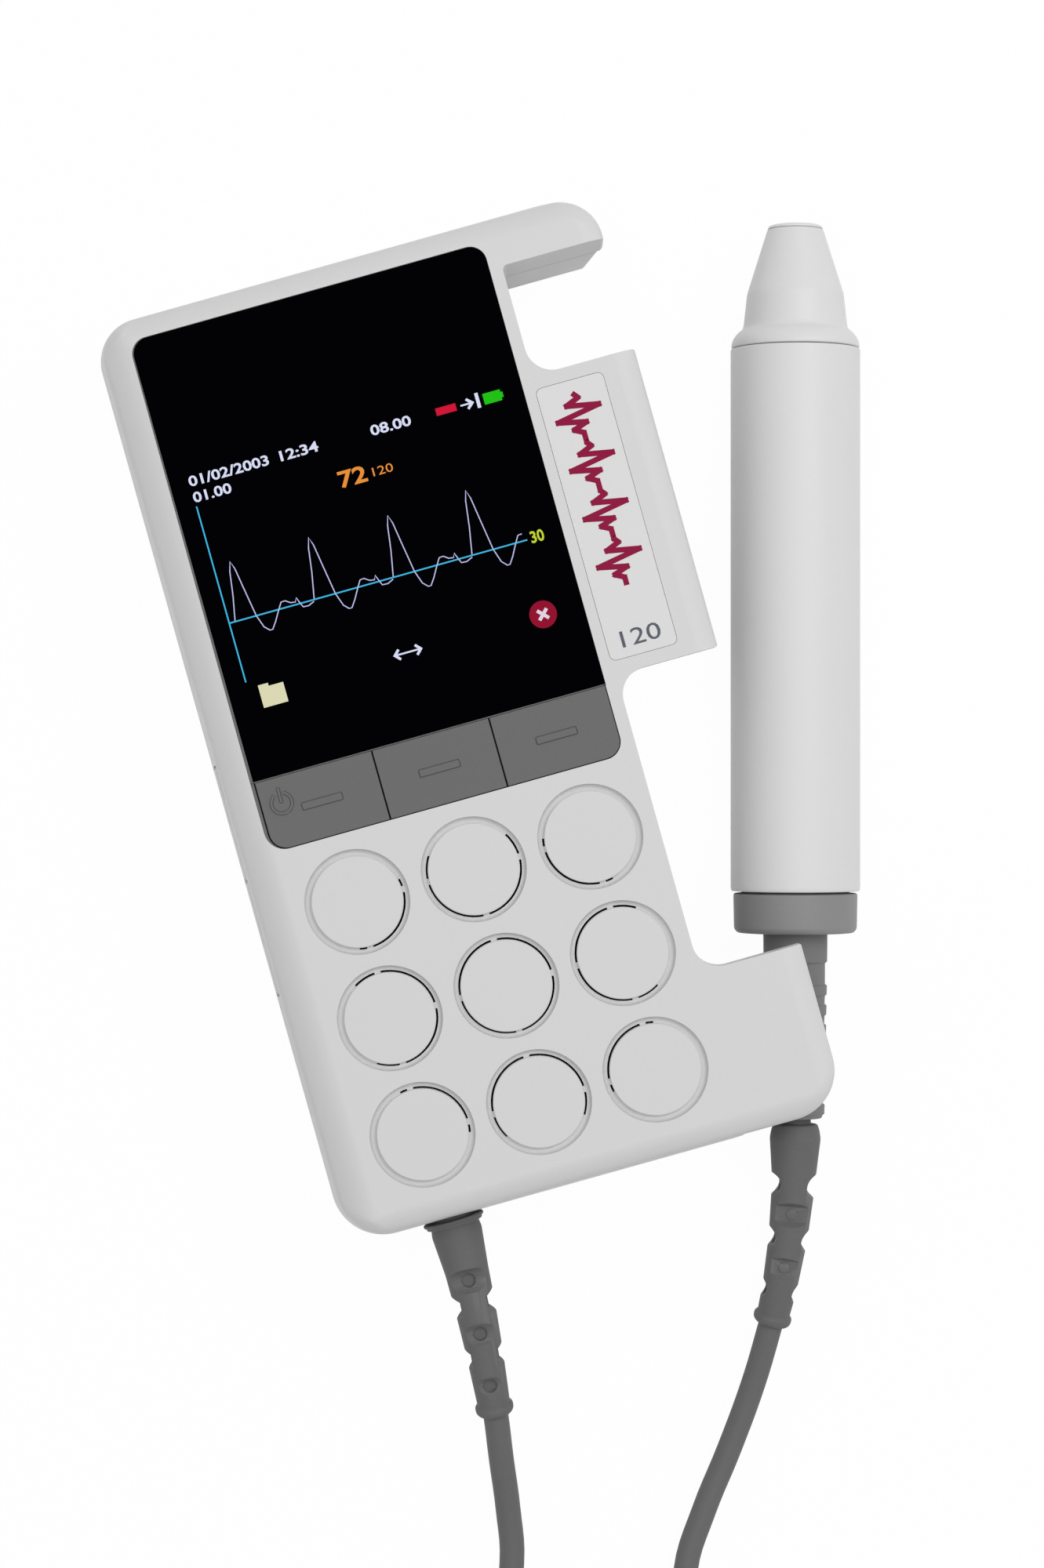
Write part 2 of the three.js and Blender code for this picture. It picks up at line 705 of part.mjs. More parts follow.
function mainBoard() {
  return prism(new THREE.Shape([
    new THREE.Vector2(boardLeft, boardTail),
    new THREE.Vector2(boardLeft + boardStrip, boardTail),
    new THREE.Vector2(boardLeft + boardStrip, boardStep),
    new THREE.Vector2(boardRight, boardStep),
    new THREE.Vector2(boardRight, boardTop),
    new THREE.Vector2(boardLeft, boardTop),
  ]), boardZ, boardTopZ);
}

const volumeMiddle = (volumeHigh + volumeLow) / 2;
const volumeBack = left + leanAt(leftEdge, volumeZ) + wall + fit;
const volumePlunger = volumeBack + 1.3;

// A bar along Y whose faces lean with the left wall, between two distances in from its outer side
function leaningBar(from, to, outside, inside, half) {
  const corner = (distance, z) => new THREE.Vector2(left + leanAt(leftEdge, z) + distance, z);
  const section = new THREE.Shape([
    corner(outside, volumeZ - half),
    corner(inside, volumeZ - half),
    corner(inside, volumeZ + half),
    corner(outside, volumeZ + half),
  ]);
  return solid(extrude(section, -to, -from).rotateX(Math.PI / 2));
}

function volumeKey(from, to) {
  const half = volumeHeight / 2;
  const middle = (from + to) / 2;
  const cap = leaningBar(from, to, -volumeProud, wall + fit + 0.1, half - fit);
  const flange = leaningBar(from, to, wall + fit, wall + fit + 0.8, half + fit);
  const plunger = block(volumeBack, middle - 1.5, volumeZ - 1, volumePlunger, middle + 1.5, volumeZ + 1);
  return join(cap, flange, plunger);
}

function volumeSwitch(from, to) {
  const middle = (from + to) / 2;
  const half = volumeSwitchWidth / 2;
  const top = boardZ - fit;
  return block(volumePlunger + volumeTravel + fit, middle - half, top - volumeSwitchHeight,
    boardLeft + volumeSwitchReach, middle + half, top);
}

// Loudspeaker pieces are turned about the grille's middle
function speakerPiece(profile, segments = 24) {
  return along(turned(profile, segments), speakerX, speakerY);
}

function speakerBasket() {
  return speakerPiece([
    [magnetRadius + fit, coneLow - fit - 1],
    [magnetRadius + basketRim, coneLow - fit - 1],
    [slotReach, rimTop - basketRim],
    [rimOuter, rimTop - basketRim],
    [rimOuter, rimTop],
    [slotReach - 0.8, rimTop],
    [slotReach - 1.2, rimTop - 0.8],
    [magnetRadius + fit, coneLow - fit],
    [magnetRadius + fit, coneLow - fit - 1],
  ]);
}

function speakerCone() {
  return speakerPiece([
    [0, coneLow],
    [magnetRadius, coneLow],
    [slotReach - 2.2, rimTop - 0.9],
    [slotReach - 2.2, rimTop - 0.3],
    [magnetRadius - 0.5, coneLow + 0.6],
    [0, coneLow + 0.6],
  ]);
}

function speakerMagnet() {
  const top = coneLow - fit;
  return along(rod(magnetRadius, top - magnetHeight, top), speakerX, speakerY);
}

function cell(x) {
  const body = rodAlongY(cellRadius, x, cellZ, cellLow, cellHigh - cellButton, 20);
  const button = rodAlongY(cellButtonRadius, x, cellZ, cellHigh - cellButton - 0.1, cellHigh, 12);
  return join(solid(body), solid(button));
}

// A tube whose ring of sides follows a list of points, closed at both ends
function sweptTube(points, radius, sides) {
  const positions = [];
  const index = [];
  const up = new THREE.Vector3(0, 0, 1);
  points.forEach((point, i) => {
    const ahead = points[Math.min(i + 1, points.length - 1)];
    const tangent = ahead.clone().sub(points[Math.max(i - 1, 0)]).normalize();
    const side = new THREE.Vector3().crossVectors(up, tangent).normalize();
    const over = new THREE.Vector3().crossVectors(tangent, side);
    for (let k = 0; k < sides; k += 1) {
      const angle = ((k + 0.5) / sides) * 2 * Math.PI;
      const spot = point.clone().addScaledVector(side, radius * Math.cos(angle))
        .addScaledVector(over, radius * Math.sin(angle));
      positions.push(spot.x, spot.y, spot.z);
    }
  });
  for (let i = 0; i < points.length - 1; i += 1) {
    for (let k = 0; k < sides; k += 1) {
      const a = i * sides + k;
      const b = i * sides + ((k + 1) % sides);
      index.push(a, b, b + sides, a, b + sides, a + sides);
    }
  }
  const last = (points.length - 1) * sides;
  for (let k = 1; k < sides - 1; k += 1) {
    index.push(0, k + 1, k, last, last + k, last + k + 1);
  }
  const geometry = new THREE.BufferGeometry();
  geometry.setAttribute('position', new THREE.Float32BufferAttribute(positions, 3));
  geometry.setIndex(index);
  return geometry;
}

// Contact spring: a cone of wire along Y between its plate and the cell
function contactSpring(x) {
  const steps = springTurns * 8;
  const from = springSeat + contactThickness + fit + springWire;
  const to = cellLow - fit - springWire;
  const points = [];
  for (let i = 0; i <= steps; i += 1) {
    const t = i / steps;
    const angle = t * springTurns * 2 * Math.PI;
    const radius = springRadius * (1 - t * 0.55);
    const height = from + (to - from) * t;
    points.push(new THREE.Vector3(radius * Math.cos(angle), radius * Math.sin(angle), height));
  }
  return sweptTube(points, springWire / 2, 5).rotateX(-Math.PI / 2).translate(x, 0, cellZ);
}

function contactPlate(x, from) {
  const half = cellRadius - 1;
  return block(x - half, from, cellZ - 4.4, x + half, from + contactThickness, cellZ + 4.2);
}

function batteryDoor() {
  const panel = block(doorLeft, low + fit, doorRecess, doorRight, doorHigh, doorTop);
  const lip = block(doorLeft - doorLip, low + fit, doorLipZ + fit, doorRight + doorLip, doorHigh, doorTop);
  const whole = join(panel, lip).intersect(rearBody);
  const middle = (doorLeft + doorRight) / 2;
  const grips = [0, 1, 2, 3].map((i) => {
    const top = doorHigh - gripFromTop + 1 - i * gripPitch;
    return block(middle - gripWidth / 2, top - 1, 0, middle + gripWidth / 2, top, doorRecess + 0.5);
  });
  return cut(whole, ...grips);
}

function caseScrew(x, y) {
  const head = headDepth - fit;
  return along(turned([
    [0, head - screwHeadHeight],
    [screwHeadRadius, head - screwHeadHeight],
    [screwHeadRadius, head],
    [screwShank, head],
    [screwShank, head + screwLength],
    [0, head + screwLength],
  ], 8), x, y);
}

// Cable boots: a tapered moulding, round notches on two faces and pockets with sloping ends between them
function bootProfile(radius) {
  return [
    [radius, 1.2],
    [radius, 2.4],
    [bootWaistRadius, firstNotch - 1],
    [bootTailRadius, bootLength - beadLength - 0.2],
    [beadRadius - 0.4, bootLength - beadLength - 0.1],
    [beadRadius, bootLength - beadLength * 0.65],
    [beadRadius, bootLength - beadLength * 0.35],
    [beadRadius - 0.5, bootLength],
    [0, bootLength],
  ];
}

// A cutter across the boot's upper face, square to the axis: a round bar or a bar with sloping sides
function notchBar(isRound) {
  const reach = bootRadius * 2;
  if (isRound) {
    return rod(notchRadius, -reach, reach, 10).rotateY(Math.PI / 2).translate(0, bootNeck + notchRadius, 0);
  }
  const slope = (pocketMouth - pocketFloor) / 2 / (bootWaistRadius - bootNeck);
  const mouth = pocketFloor / 2 + slope * (reach - bootNeck);
  const section = roundedOutline([
    [-pocketFloor / 2, bootNeck, 0],
    [pocketFloor / 2, bootNeck, 0],
    [mouth, reach, 0],
    [-mouth, reach, 0],
  ]);
  return extrude(section, -reach, reach).rotateY(Math.PI / 2);
}

function bootSolid(root, roundAbove) {
  const body = solid(turned([...root, ...bootProfile(bootRadius)], 16));
  const notches = [0, 1, 2, 3, 4].flatMap((i) => {
    const isRound = i % 2 === 0;
    const quarter = isRound === roundAbove ? 0 : Math.PI / 2;
    return [quarter, quarter + Math.PI].map((turn) => (
      solid(notchBar(isRound).rotateZ(turn).translate(0, 0, firstNotch + (i * notchPitch) / 2))));
  });
  return cut(body, ...notches);
}

// Lays a straight piece, drawn along +Z, on a curve; what lies below z = 0 stays straight behind the start
function laidOn(manifold, curve) {
  const geometry = geometryOf(manifold);
  const position = geometry.attributes.position;
  const up = new THREE.Vector3(0, 0, 1);
  const length = curve.getLength();
  for (let i = 0; i < position.count; i += 1) {
    const s = position.getZ(i);
    const u = THREE.MathUtils.clamp(s / length, 0, 1);
    const tangent = curve.getTangentAt(u);
    const side = new THREE.Vector3().crossVectors(up, tangent).normalize();
    const over = new THREE.Vector3().crossVectors(tangent, side);
    const spot = curve.getPointAt(u).addScaledVector(tangent, s - u * length)
      .addScaledVector(side, position.getX(i)).addScaledVector(over, position.getY(i));
    position.setXYZ(i, spot.x, spot.y, spot.z);
  }
  geometry.computeVertexNormals();
  return geometry;
}

const unitBootRoot = [
  [0, -wall - fit - glandLipThickness],
  [glandShank + glandLip, -wall - fit - glandLipThickness],
  [glandShank + glandLip, -wall - fit],
  [glandShank, -wall - fit],
  [glandShank, fit],
  [glandFlangeRadius, fit],
  [glandFlangeRadius, fit + glandFlangeThickness],
];

const sleeveBore = 2.6;
const probeBootRoot = [
  [0, -3],
  [sleeveBore - fit, -3],
  [sleeveBore - fit, 0.3],
  [bootRadius - 0.2, 0.3],
];

// A point of the lead, measured from the unit's lower end
function below(x, distance, z) {
  return new THREE.Vector3(x, low - distance, z);
}

const unitBootCurve = new THREE.CubicBezierCurve3(
  below(glandX, 0, glandZ),
  below(glandX, 12, glandZ),
  below(glandX - 1, 21.5, 10.9),
  below(glandX - 2, 30.6, 8.4),
);

const probeBootStart = barrelFoot.clone()
  .addScaledVector(probeHeading, -(endRingLength + collarLength + sleeveLength + 0.6));
const probeBootCurve = new THREE.CubicBezierCurve3(
  probeBootStart,
  probeBootStart.clone().addScaledVector(probeHeading, -12),
  below(23.2, 22.2, 7.4),
  below(19.3, 29.0, 5.9),
);

// Lead: a free stretch from each boot to the coil, which lies on the table and rises over the tie
function coilPoint(turn) {
  const turnsInLayer = coilTurns / 2;
  const t = turn <= turnsInLayer ? turn : coilTurns - turn;
  const radius = coilMeanRadius + coilPitch * (turnsInLayer / 2 - t);
  const climb = THREE.MathUtils.smoothstep(turn, turnsInLayer - 0.25, turnsInLayer + 0.25);
  const angle = coilEntry + turn * 2 * Math.PI;
  const fromTie = Math.acos(Math.cos(angle - tieAngle));
  const lift = (tieThickness + tieRoom) * (1 - THREE.MathUtils.smoothstep(fromTie, 0, tieReach));
  const height = coilRest + cableRadius + lift + climb * coilPitch;
  const [x, y] = [coilCentre.x + radius * Math.cos(angle), coilCentre.y + radius * Math.sin(angle)];
  return new THREE.Vector3(x, y, height);
}

const coilTurns = coilLoops + (coilExit - coilEntry) / (2 * Math.PI);
const coilSteps = Math.round(coilTurns * 24);
const coilWound = Array.from({ length: coilSteps + 1 }, (_, i) => coilPoint((coilTurns * i) / coilSteps));

function runOn(from, to) {
  return to.clone().sub(from).setZ(0).normalize().multiplyScalar(cableRadius * 2).add(to);
}

const coilPoints = [runOn(coilWound[1], coilWound[0]), ...coilWound,
  runOn(coilWound[coilSteps - 1], coilWound[coilSteps])];

function coilGap() {
  let least = Infinity;
  for (let i = 0; i < coilWound.length; i += 1) {
    for (let j = i + 12; j < coilWound.length; j += 1) {
      least = Math.min(least, coilWound[i].distanceTo(coilWound[j]) - cableRadius * 2);
    }
  }
  return least;
}
console.log(`least gap between the coil's turns: ${coilGap().toFixed(2)} mm`);

const bootEndGap = 0.3;

function beyond(curve) {
  const onward = bootEndGap + bootLength - curve.getLength();
  return curve.getPointAt(1).addScaledVector(curve.getTangentAt(1), onward);
}

// A point straight on from the coil's first or last run
function pastCoil(end, inner, distance) {
  return end.clone().add(end.clone().sub(inner).normalize().multiplyScalar(distance));
}

const coilStart = (distance) => pastCoil(coilPoints[0], coilPoints[1], distance);
const coilEnd = (distance) => pastCoil(coilPoints.at(-1), coilPoints.at(-2), distance);
const leadIn = 5;

const unitCable = new THREE.CatmullRomCurve3([
  beyond(unitBootCurve),
  below(-25.0, 37.6, 6.2),
  below(-26.2, 45.6, 3.5),
  below(-27.9, 53.8, 2.1),
  below(-31.4, 61, 2),
  below(-37.6, 65.4, 2),
  coilStart(leadIn),
  coilStart(fit),
], false, 'centripetal');

const probeCable = new THREE.CatmullRomCurve3([
  coilEnd(fit),
  coilEnd(leadIn),
  below(-6.0, 90.5, 5.4),
  below(-5.5, 81, 3.7),
  below(-5.3, 71.5, 2.5),
  below(-3.0, 62, 2),
  below(2.0, 54.2, 2),
  below(8.2, 46.2, 2.2),
  below(14.3, 37.5, 3.5),
  beyond(probeBootCurve),
], false, 'centripetal');

function cableTube(curve) {
  const steps = Math.round(curve.getLength() / 4);
  return sweptTube(curve.getSpacedPoints(steps), cableRadius, 8);
}

function cableTie() {
  const inner = coilMeanRadius - (coilPitch * coilTurns) / 4 - cableRadius - tieRoom;
  const outer = coilMeanRadius + (coilPitch * coilTurns) / 4 + cableRadius + tieRoom;
  const base = coilRest;
  const top = base + tieThickness + tieRoom * 2 + cableRadius * 2 + coilPitch;
  const half = tieWidth / 2;
  const band = block(inner - tieThickness, -half, base, outer + tieThickness, half, top + tieThickness);
  const hole = block(inner, -tieWidth, base + tieThickness, outer, tieWidth, top);
  return geometryOf(cut(band, hole)).rotateZ(tieAngle).translate(coilCentre.x, coilCentre.y, 0);
}

// The probe's pieces are turned about its axis, with z = 0 where the barrel meets the end ring
const barrelBore = barrelRadius - barrelWall;
const headStart = barrelLength + fit;
const neckStart = headStart + headFlange;
const coneStart = neckStart + neckLength;
const faceStart = coneStart + coneLength;
const headBore = 5.4;
const tipBore = tipRadius - 1;
const ringStart = -fit;
const ringEnd = ringStart - endRingLength + fit;

function probeBarrel() {
  return turned([
    [barrelBore, 0],
    [barrelRadius - 0.15, 0],
    [barrelRadius, 0.4],
    [barrelRadius, barrelLength - 0.3],
    [barrelRadius - 0.2, barrelLength],
    [barrelBore, barrelLength],
    [barrelBore, 0],
  ], 28);
}

function probeHead() {
  return turned([
    [headBore, headStart - headPlug],
    [barrelBore - fit, headStart - headPlug],
    [barrelBore - fit, headStart],
    [barrelRadius - 0.1, headStart],
    [barrelRadius - 0.3, headStart + 1.3],
    [neckRadius + 0.6, headStart + 2.4],
    [neckRadius, neckStart],
    [neckTopRadius, coneStart],
    [tipRadius, faceStart - fit],
    [tipBore, faceStart - fit],
    [headBore - 0.4, coneStart],
    [headBore, headStart - headPlug],
  ], 28);
}

function probeFace() {
  return turned([
    [0, faceStart],
    [tipRadius, faceStart],
    [tipRadius, faceStart + faceThickness * 0.6],
    [tipRadius - 0.35, faceStart + faceThickness],
    [0, faceStart + faceThickness],
  ], 20);
}

// Two half-round crystals behind the face, one sends and one listens
function crystal(sign) {
  const top = faceStart - fit;
  const disc = solid(rod(tipBore - fit, top - crystalThickness, top, 20));
  const side = block(fit, -tipRadius, 0, tipRadius, tipRadius, top + past);
  return geometryOf(disc.intersect(sign > 0 ? side : side.mirror([1, 0, 0])));
}

function dampingBlock() {
  const top = faceStart - fit * 2 - crystalThickness;
  const base = top - dampingLength;
  return turned([[0, base], [tipBore, base], [tipBore - fit, top], [0, top]], 20);
}

function probeBoard() {
  const geometry = new THREE.BoxGeometry(...probeBoardSize);
  return geometry.translate(0, 0, headStart - headPlug - fit - probeBoardSize[2] / 2);
}

function sealRing() {
  const top = headStart - headPlug - fit;
  return tube(barrelBore - sealRadius * 2 - 0.4, barrelBore - fit, top - sealRadius * 2, top, 20);
}

function probeEndRing() {
  return turned([
    [collarRadius + fit, ringEnd],
    [endRingRadius - 0.7, ringEnd],
    [endRingRadius - 0.15, ringEnd + 0.5],
    [endRingRadius, ringEnd + 1.1],
    [endRingRadius, ringStart],
    [barrelBore - fit, ringStart],
    [barrelBore - fit, 4],
    [socketRadius + fit, 4],
    [socketRadius + fit, ringEnd + 1.6],
    [collarRadius + fit, ringEnd + 1.6],
    [collarRadius + fit, ringEnd],
  ], 24);
}

function probeSocket() {
  const from = ringEnd + 1.9;
  return turned([
    [plugBore, from],
    [socketRadius, from],
    [socketRadius, from + socketLength],
    [0, from + socketLength],
    [0, from + socketLength - 1],
    [plugBore, from + socketLength - 1],
    [plugBore, from],
  ], 24);
}

// Plug: a collar against the end ring, a ribbed sleeve and a nose inside the socket
const collarTop = ringEnd + 1.3;
const collarLow = ringEnd - collarLength;
const sleeveLow = collarLow - sleeveLength;

function plugGrip() {
  const outline = [[sleeveBore, sleeveLow], [sleeveEndRadius - 0.5, sleeveLow]];
  const ribs = Math.floor(sleeveLength / ribPitch);
  for (let i = 0; i < ribs; i += 1) {
    const t = i / ribs;
    const radius = sleeveEndRadius + (sleeveRadius - sleeveEndRadius) * t;
    const start = sleeveLow + 0.5 + i * ribPitch;
    outline.push([radius - ribDepth, start], [radius, start + 0.5]);
    outline.push([radius, start + 1.7], [radius - ribDepth, start + 2.2]);
  }
  outline.push([collarRadius - 0.5, collarLow - 0.6], [collarRadius - 0.5, collarLow]);
  outline.push([collarRadius, collarLow + 0.3], [collarRadius, collarTop], [0, collarTop]);
  return turned([[0, sleeveLow + 4], [sleeveBore, sleeveLow + 4], ...outline], 16);
}

function plugInsert() {
  const from = collarTop + fit;
  const body = solid(rod(plugNoseRadius, from, from + plugNoseLength - 2.6, 18));
  const pins = Array.from({ length: pinCount }, (_, i) => {
    const angle = (i / pinCount) * 2 * Math.PI;
    const pin = rod(pinRadius, from + 1, from + plugNoseLength - 0.8, 8);
    return solid(along(pin, pinCircle * Math.cos(angle), pinCircle * Math.sin(angle)));
  });
  return geometryOf(join(body, ...pins));
}

place('front_shell', geometryOf(frontShell()), materials.shell);
place('rear_shell', geometryOf(rearShell()), materials.shell);
place('display_lens', geometryOf(displayLens()), materials.lens);
place('lens_gasket', geometryOf(lensGasket()), materials.gasket);
place('display_panel', geometryOf(windowBlock(fit, panelZ, panelTop)), materials.dark);
place('display_tray', geometryOf(windowBlock(1, trayZ, trayZ + trayThickness)), materials.steel);
['left', 'middle', 'right'].forEach((side, i) => {
  place(`soft_key_${side}`, geometryOf(softKey(i)), materials.key);
  place(`key_switch_${side}`, geometryOf(keySwitch(i)), materials.dark);
});
place('main_board', geometryOf(mainBoard()), materials.board);
place('volume_up_key', geometryOf(volumeKey(volumeMiddle + fit / 2, volumeHigh - fit)), materials.shell);
place('volume_down_key', geometryOf(volumeKey(volumeLow + fit, volumeMiddle - fit / 2)), materials.shell);
place('volume_up_switch', geometryOf(volumeSwitch(volumeMiddle, volumeHigh)), materials.dark);
place('volume_down_switch', geometryOf(volumeSwitch(volumeLow, volumeMiddle)), materials.dark);
place('speaker_basket', speakerBasket(), materials.dark);
place('speaker_cone', speakerCone(), materials.dark);
place('speaker_magnet', speakerMagnet(), materials.steel);
cellX.forEach((x, i) => {
  place(`battery_${i + 1}`, geometryOf(cell(x)), materials.cell);
  place(`contact_spring_${i + 1}`, contactSpring(x), materials.steel);
  place(`spring_plate_${i + 1}`, geometryOf(contactPlate(x, springSeat)), materials.steel);
  place(`contact_plate_${i + 1}`, geometryOf(contactPlate(x, cellHigh + fit)), materials.steel);
});
place('battery_door', geometryOf(batteryDoor()), materials.shell);
screwPlaces.forEach(([x, y], i) => place(`case_screw_${i + 1}`, caseScrew(x, y), materials.steel));
place('tab_label', extrude(labelOutline(0), unitDepth - labelThickness, unitDepth), materials.label);
place('unit_cable_boot', laidOn(bootSolid(unitBootRoot, true), unitBootCurve), materials.rubber);
place('probe_cable_boot', laidOn(bootSolid(probeBootRoot, false), probeBootCurve), materials.rubber);
place('cable_from_unit', cableTube(unitCable), materials.rubber);
place('cable_coil', sweptTube(coilPoints, cableRadius, 6), materials.rubber);
place('cable_to_probe', cableTube(probeCable), materials.rubber);
place('cable_tie', cableTie(), materials.dark);

const probe = new THREE.Group();
probe.position.copy(barrelFoot);
probe.quaternion.setFromUnitVectors(new THREE.Vector3(0, 0, 1), probeHeading);
model.add(probe);
place('probe_barrel', probeBarrel(), materials.probe, probe);
place('probe_head', probeHead(), materials.probe, probe);
place('probe_face', probeFace(), materials.acoustic, probe);
place('send_crystal', crystal(-1), materials.ceramic, probe);
place('listen_crystal', crystal(1), materials.ceramic, probe);
place('damping_block', dampingBlock(), materials.dark, probe);
place('probe_board', probeBoard(), materials.board, probe);
place('probe_seal', sealRing(), materials.gasket, probe);
place('probe_end_ring', probeEndRing(), materials.ring, probe);
place('probe_socket', probeSocket(), materials.dark, probe);
place('plug_grip', plugGrip(), materials.rubber, probe);
place('plug_insert', plugInsert(), materials.dark, probe);

export default model;
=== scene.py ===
# Handheld doppler: the looks of the pocket unit, its pencil probe and the lead between them.
# Shapes are drawn in millimetres, in the frame of the solids, and turned to metres as meshes are made.
import math
import bpy
from mathutils import Matrix, Vector


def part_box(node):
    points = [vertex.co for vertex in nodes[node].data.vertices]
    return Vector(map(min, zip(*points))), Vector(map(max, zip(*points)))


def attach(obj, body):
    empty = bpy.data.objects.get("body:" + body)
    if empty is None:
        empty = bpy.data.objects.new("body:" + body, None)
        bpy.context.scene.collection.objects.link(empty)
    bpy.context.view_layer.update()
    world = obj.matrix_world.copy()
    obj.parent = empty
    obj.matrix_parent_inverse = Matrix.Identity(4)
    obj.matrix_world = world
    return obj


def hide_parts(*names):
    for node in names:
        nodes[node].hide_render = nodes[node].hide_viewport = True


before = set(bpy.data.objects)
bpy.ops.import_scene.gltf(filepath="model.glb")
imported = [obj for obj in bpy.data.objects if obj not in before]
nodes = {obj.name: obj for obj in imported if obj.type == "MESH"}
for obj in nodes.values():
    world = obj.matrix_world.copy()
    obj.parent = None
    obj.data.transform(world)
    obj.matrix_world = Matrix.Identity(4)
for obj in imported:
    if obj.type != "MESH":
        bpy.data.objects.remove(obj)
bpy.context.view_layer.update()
scene = bpy.context.scene

MM = 0.001
FIT = 0.3
WALL = 2.2
PAST = 1.0
TURN = 2 * math.pi
Y, Z = Vector((0, 1, 0)), Vector((0, 0, 1))


def span(node):
    """The lowest and highest corner of a solid, in millimetres."""
    lowest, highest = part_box(node)
    return lowest / MM, highest / MM


# Places that the solids give
shell_low, shell_high = span("front_shell")
LEFT, LOW = shell_low.x, shell_low.y
RIGHT, HIGH, TOP = shell_high
lens_low, lens_high = span("display_lens")
label_low, label_high = span("tab_label")
PARTING = shell_low.z
rear_top = PARTING - FIT

# Unit body
BOX_RIGHT = lens_high.x + 1.9
BODY_CORNER = 6.5
LOW_CORNER = 7.6
EAR_CORNER = 7.8
HOOK_CORNER = 7.8
LEAST_CORNER = 1.2
INNER_FILLET = 4
TIP_CORNER = 0.8
HOOK_LOW = HIGH - 8.75
TAB_HIGH = HIGH - 25.25
TAB_LOW = TAB_HIGH - 44.6
EAR_HIGH = LOW + 25.65
PLATE_Z = TOP - 4.4
CEILING = TOP - WALL
CRADLE_RADIUS = 10.4
CRADLE_X = BOX_RIGHT + 8.7
CRADLE_Z = 11.4
BOX_INNER_RIGHT = CRADLE_X - CRADLE_RADIUS - WALL + 0.2
LENS_CORNER = 2.4
GASKET = 0.5
GASKET_GAP = 0.1
GASKET_ROOM = GASKET + GASKET_GAP * 2
LENS_LEDGE = 3.2
LEDGE_Z = lens_low.z - 1.9
KEY_CORNER = 2.6
KEY_LOW = span("soft_key_left")[0].y + 1.2
KEY_EDGES = (lens_low.x, lens_low.x + 17.62, lens_low.x + 35.12, lens_high.x)
SCREW_INSET = 5.2
SCREW_XS = (LEFT + 7.4, BOX_RIGHT - SCREW_INSET)
SCREWS = [(x, y) for y in (HIGH - SCREW_INSET, LOW + SCREW_INSET) for x in SCREW_XS]
SCREW_HEAD = 1.9
SCREW_HEAD_HEIGHT = 1.4
SCREW_SHANK = 1.1
SCREW_POST = 2.3
SCREW_BORE = 1.4
SCREW_FOOT = 3
HEAD_ROOM = 2.2
HEAD_DEPTH = 2.4
DOOR_LIP = 1.2
DOOR_EDGE = 1.5
GRIPS = 6
GRIP_PITCH = 2.2
GRIP_HALF_LENGTH = 6
GRIP_WIDTH = 1.1
SUNK = 0.1

# Each side of the front leans in from the parting plane up, then rolls over its width and drop
EDGES = {
    "left": (1.8, 4.7, 2.9),
    "right": (0.3, 3.4, 1.3),
    "low": (1.6, 3.0, 1.7),
    "high": (2.0, 3.0, 2.2),
}

# The seal round the window is narrow under it, and the keys come close up to it
SEAL_GAP = 0.03
SEAL_SHOWN = 0.45
SEAL_SHOWN_HIGH = 0.2
LENS_EXTRA = 0.1
SEAL_LOW = 0.36
KEY_TOP = lens_low.y - 0.42
KEY_GAP = 0.12
KEY_SPLIT = 0.1
FIRST_KEY_GAP = 0.2
KEY_TRAVEL = 0.8
SWITCH_ROOM = 0.6
BAR_HALF_LENGTH = 2.97
BAR_HALF_WIDTH = 0.5
BAR_CHANNEL = 0.12
POWER_RADIUS = 1.5
POWER_STROKE_HALF = 0.165
POWER_RISE = 2.25

# Volume keys and label
VOLUME_CAP_HALF = 2.2
VOLUME_SIGN = 1.1
VOLUME_STROKE = 0.2
VOLUME_SLOT_HALF = 2.5
VOLUME_SLIT_HEIGHT = 3.7
VOLUME_SLIT_LENGTH = 5.3
LABEL_CORNER = 0.9
LABEL_GAP = 0.05
MOTIF_START = 10.3
MOTIF_PITCH = 7.2
MOTIF_WIDTH = 0.8

# Loudspeaker grille
PITCH = 17.4
DISC = 6.64
GROOVE = 7.6
GRILLE_FROM_RIGHT = 0.4
GRILLE_MARGIN = 6.3
SPEAKER = Vector((lens_high.x - GRILLE_FROM_RIGHT - PITCH - GROOVE, LOW + GRILLE_MARGIN + PITCH + GROOVE, 0))
GROOVE_DEPTH = 0.9
SLOT = 0.3
SLOT_REACH = 21.8
BRIDGE = 0.88

# Probe and its plug
HEADING = Vector((0.26976, 0.96293, 0)).normalized()
BARREL_RADIUS = 9.6
BARREL_LENGTH = 80.4
BARREL_FOOT = Vector((RIGHT + 2, LOW + 32.4, BARREL_RADIUS))
RING_LENGTH = 6.2
COLLAR_LENGTH = 4.5
SLEEVE_LENGTH = 23
SLEEVE_RADIUS = 4.35
SLEEVE_GROWTH = 0.4
RIB_DEPTH = 0.3
RIB_PITCH = 2.95
RIBS = 7

# Lead
BOOT_LENGTH = 31
GLAND = Vector((LEFT + 16.1, LOW, 13))
CABLE_RADIUS = 1.875
COIL_CENTRE = Vector((-40, LOW - 100, 0))
COIL_RADIUS = 22.5
COIL_PITCH = 4.3
COIL_ENTRY = math.radians(120)
COIL_TURNS = 7 + (344 - 120) / 360
COIL_REST = 0.05
COIL_STEPS = 24
TIE_THICKNESS = 0.8
TIE_ROOM = 0.4
TIE_HALF_WIDTH = 4
TAIL_GAP = 0.7
TIE_ANGLE = math.radians(254)
TIE_REACH = math.radians(65)

# Camera and light
CAMERA_PLACE = Vector((5.19, -11.35, 557))
CAMERA_TURN = math.radians(-15.65)
FOCAL_LENGTH = 84.56
FLOOR_GLOW = 0.97
SKY = 0.5


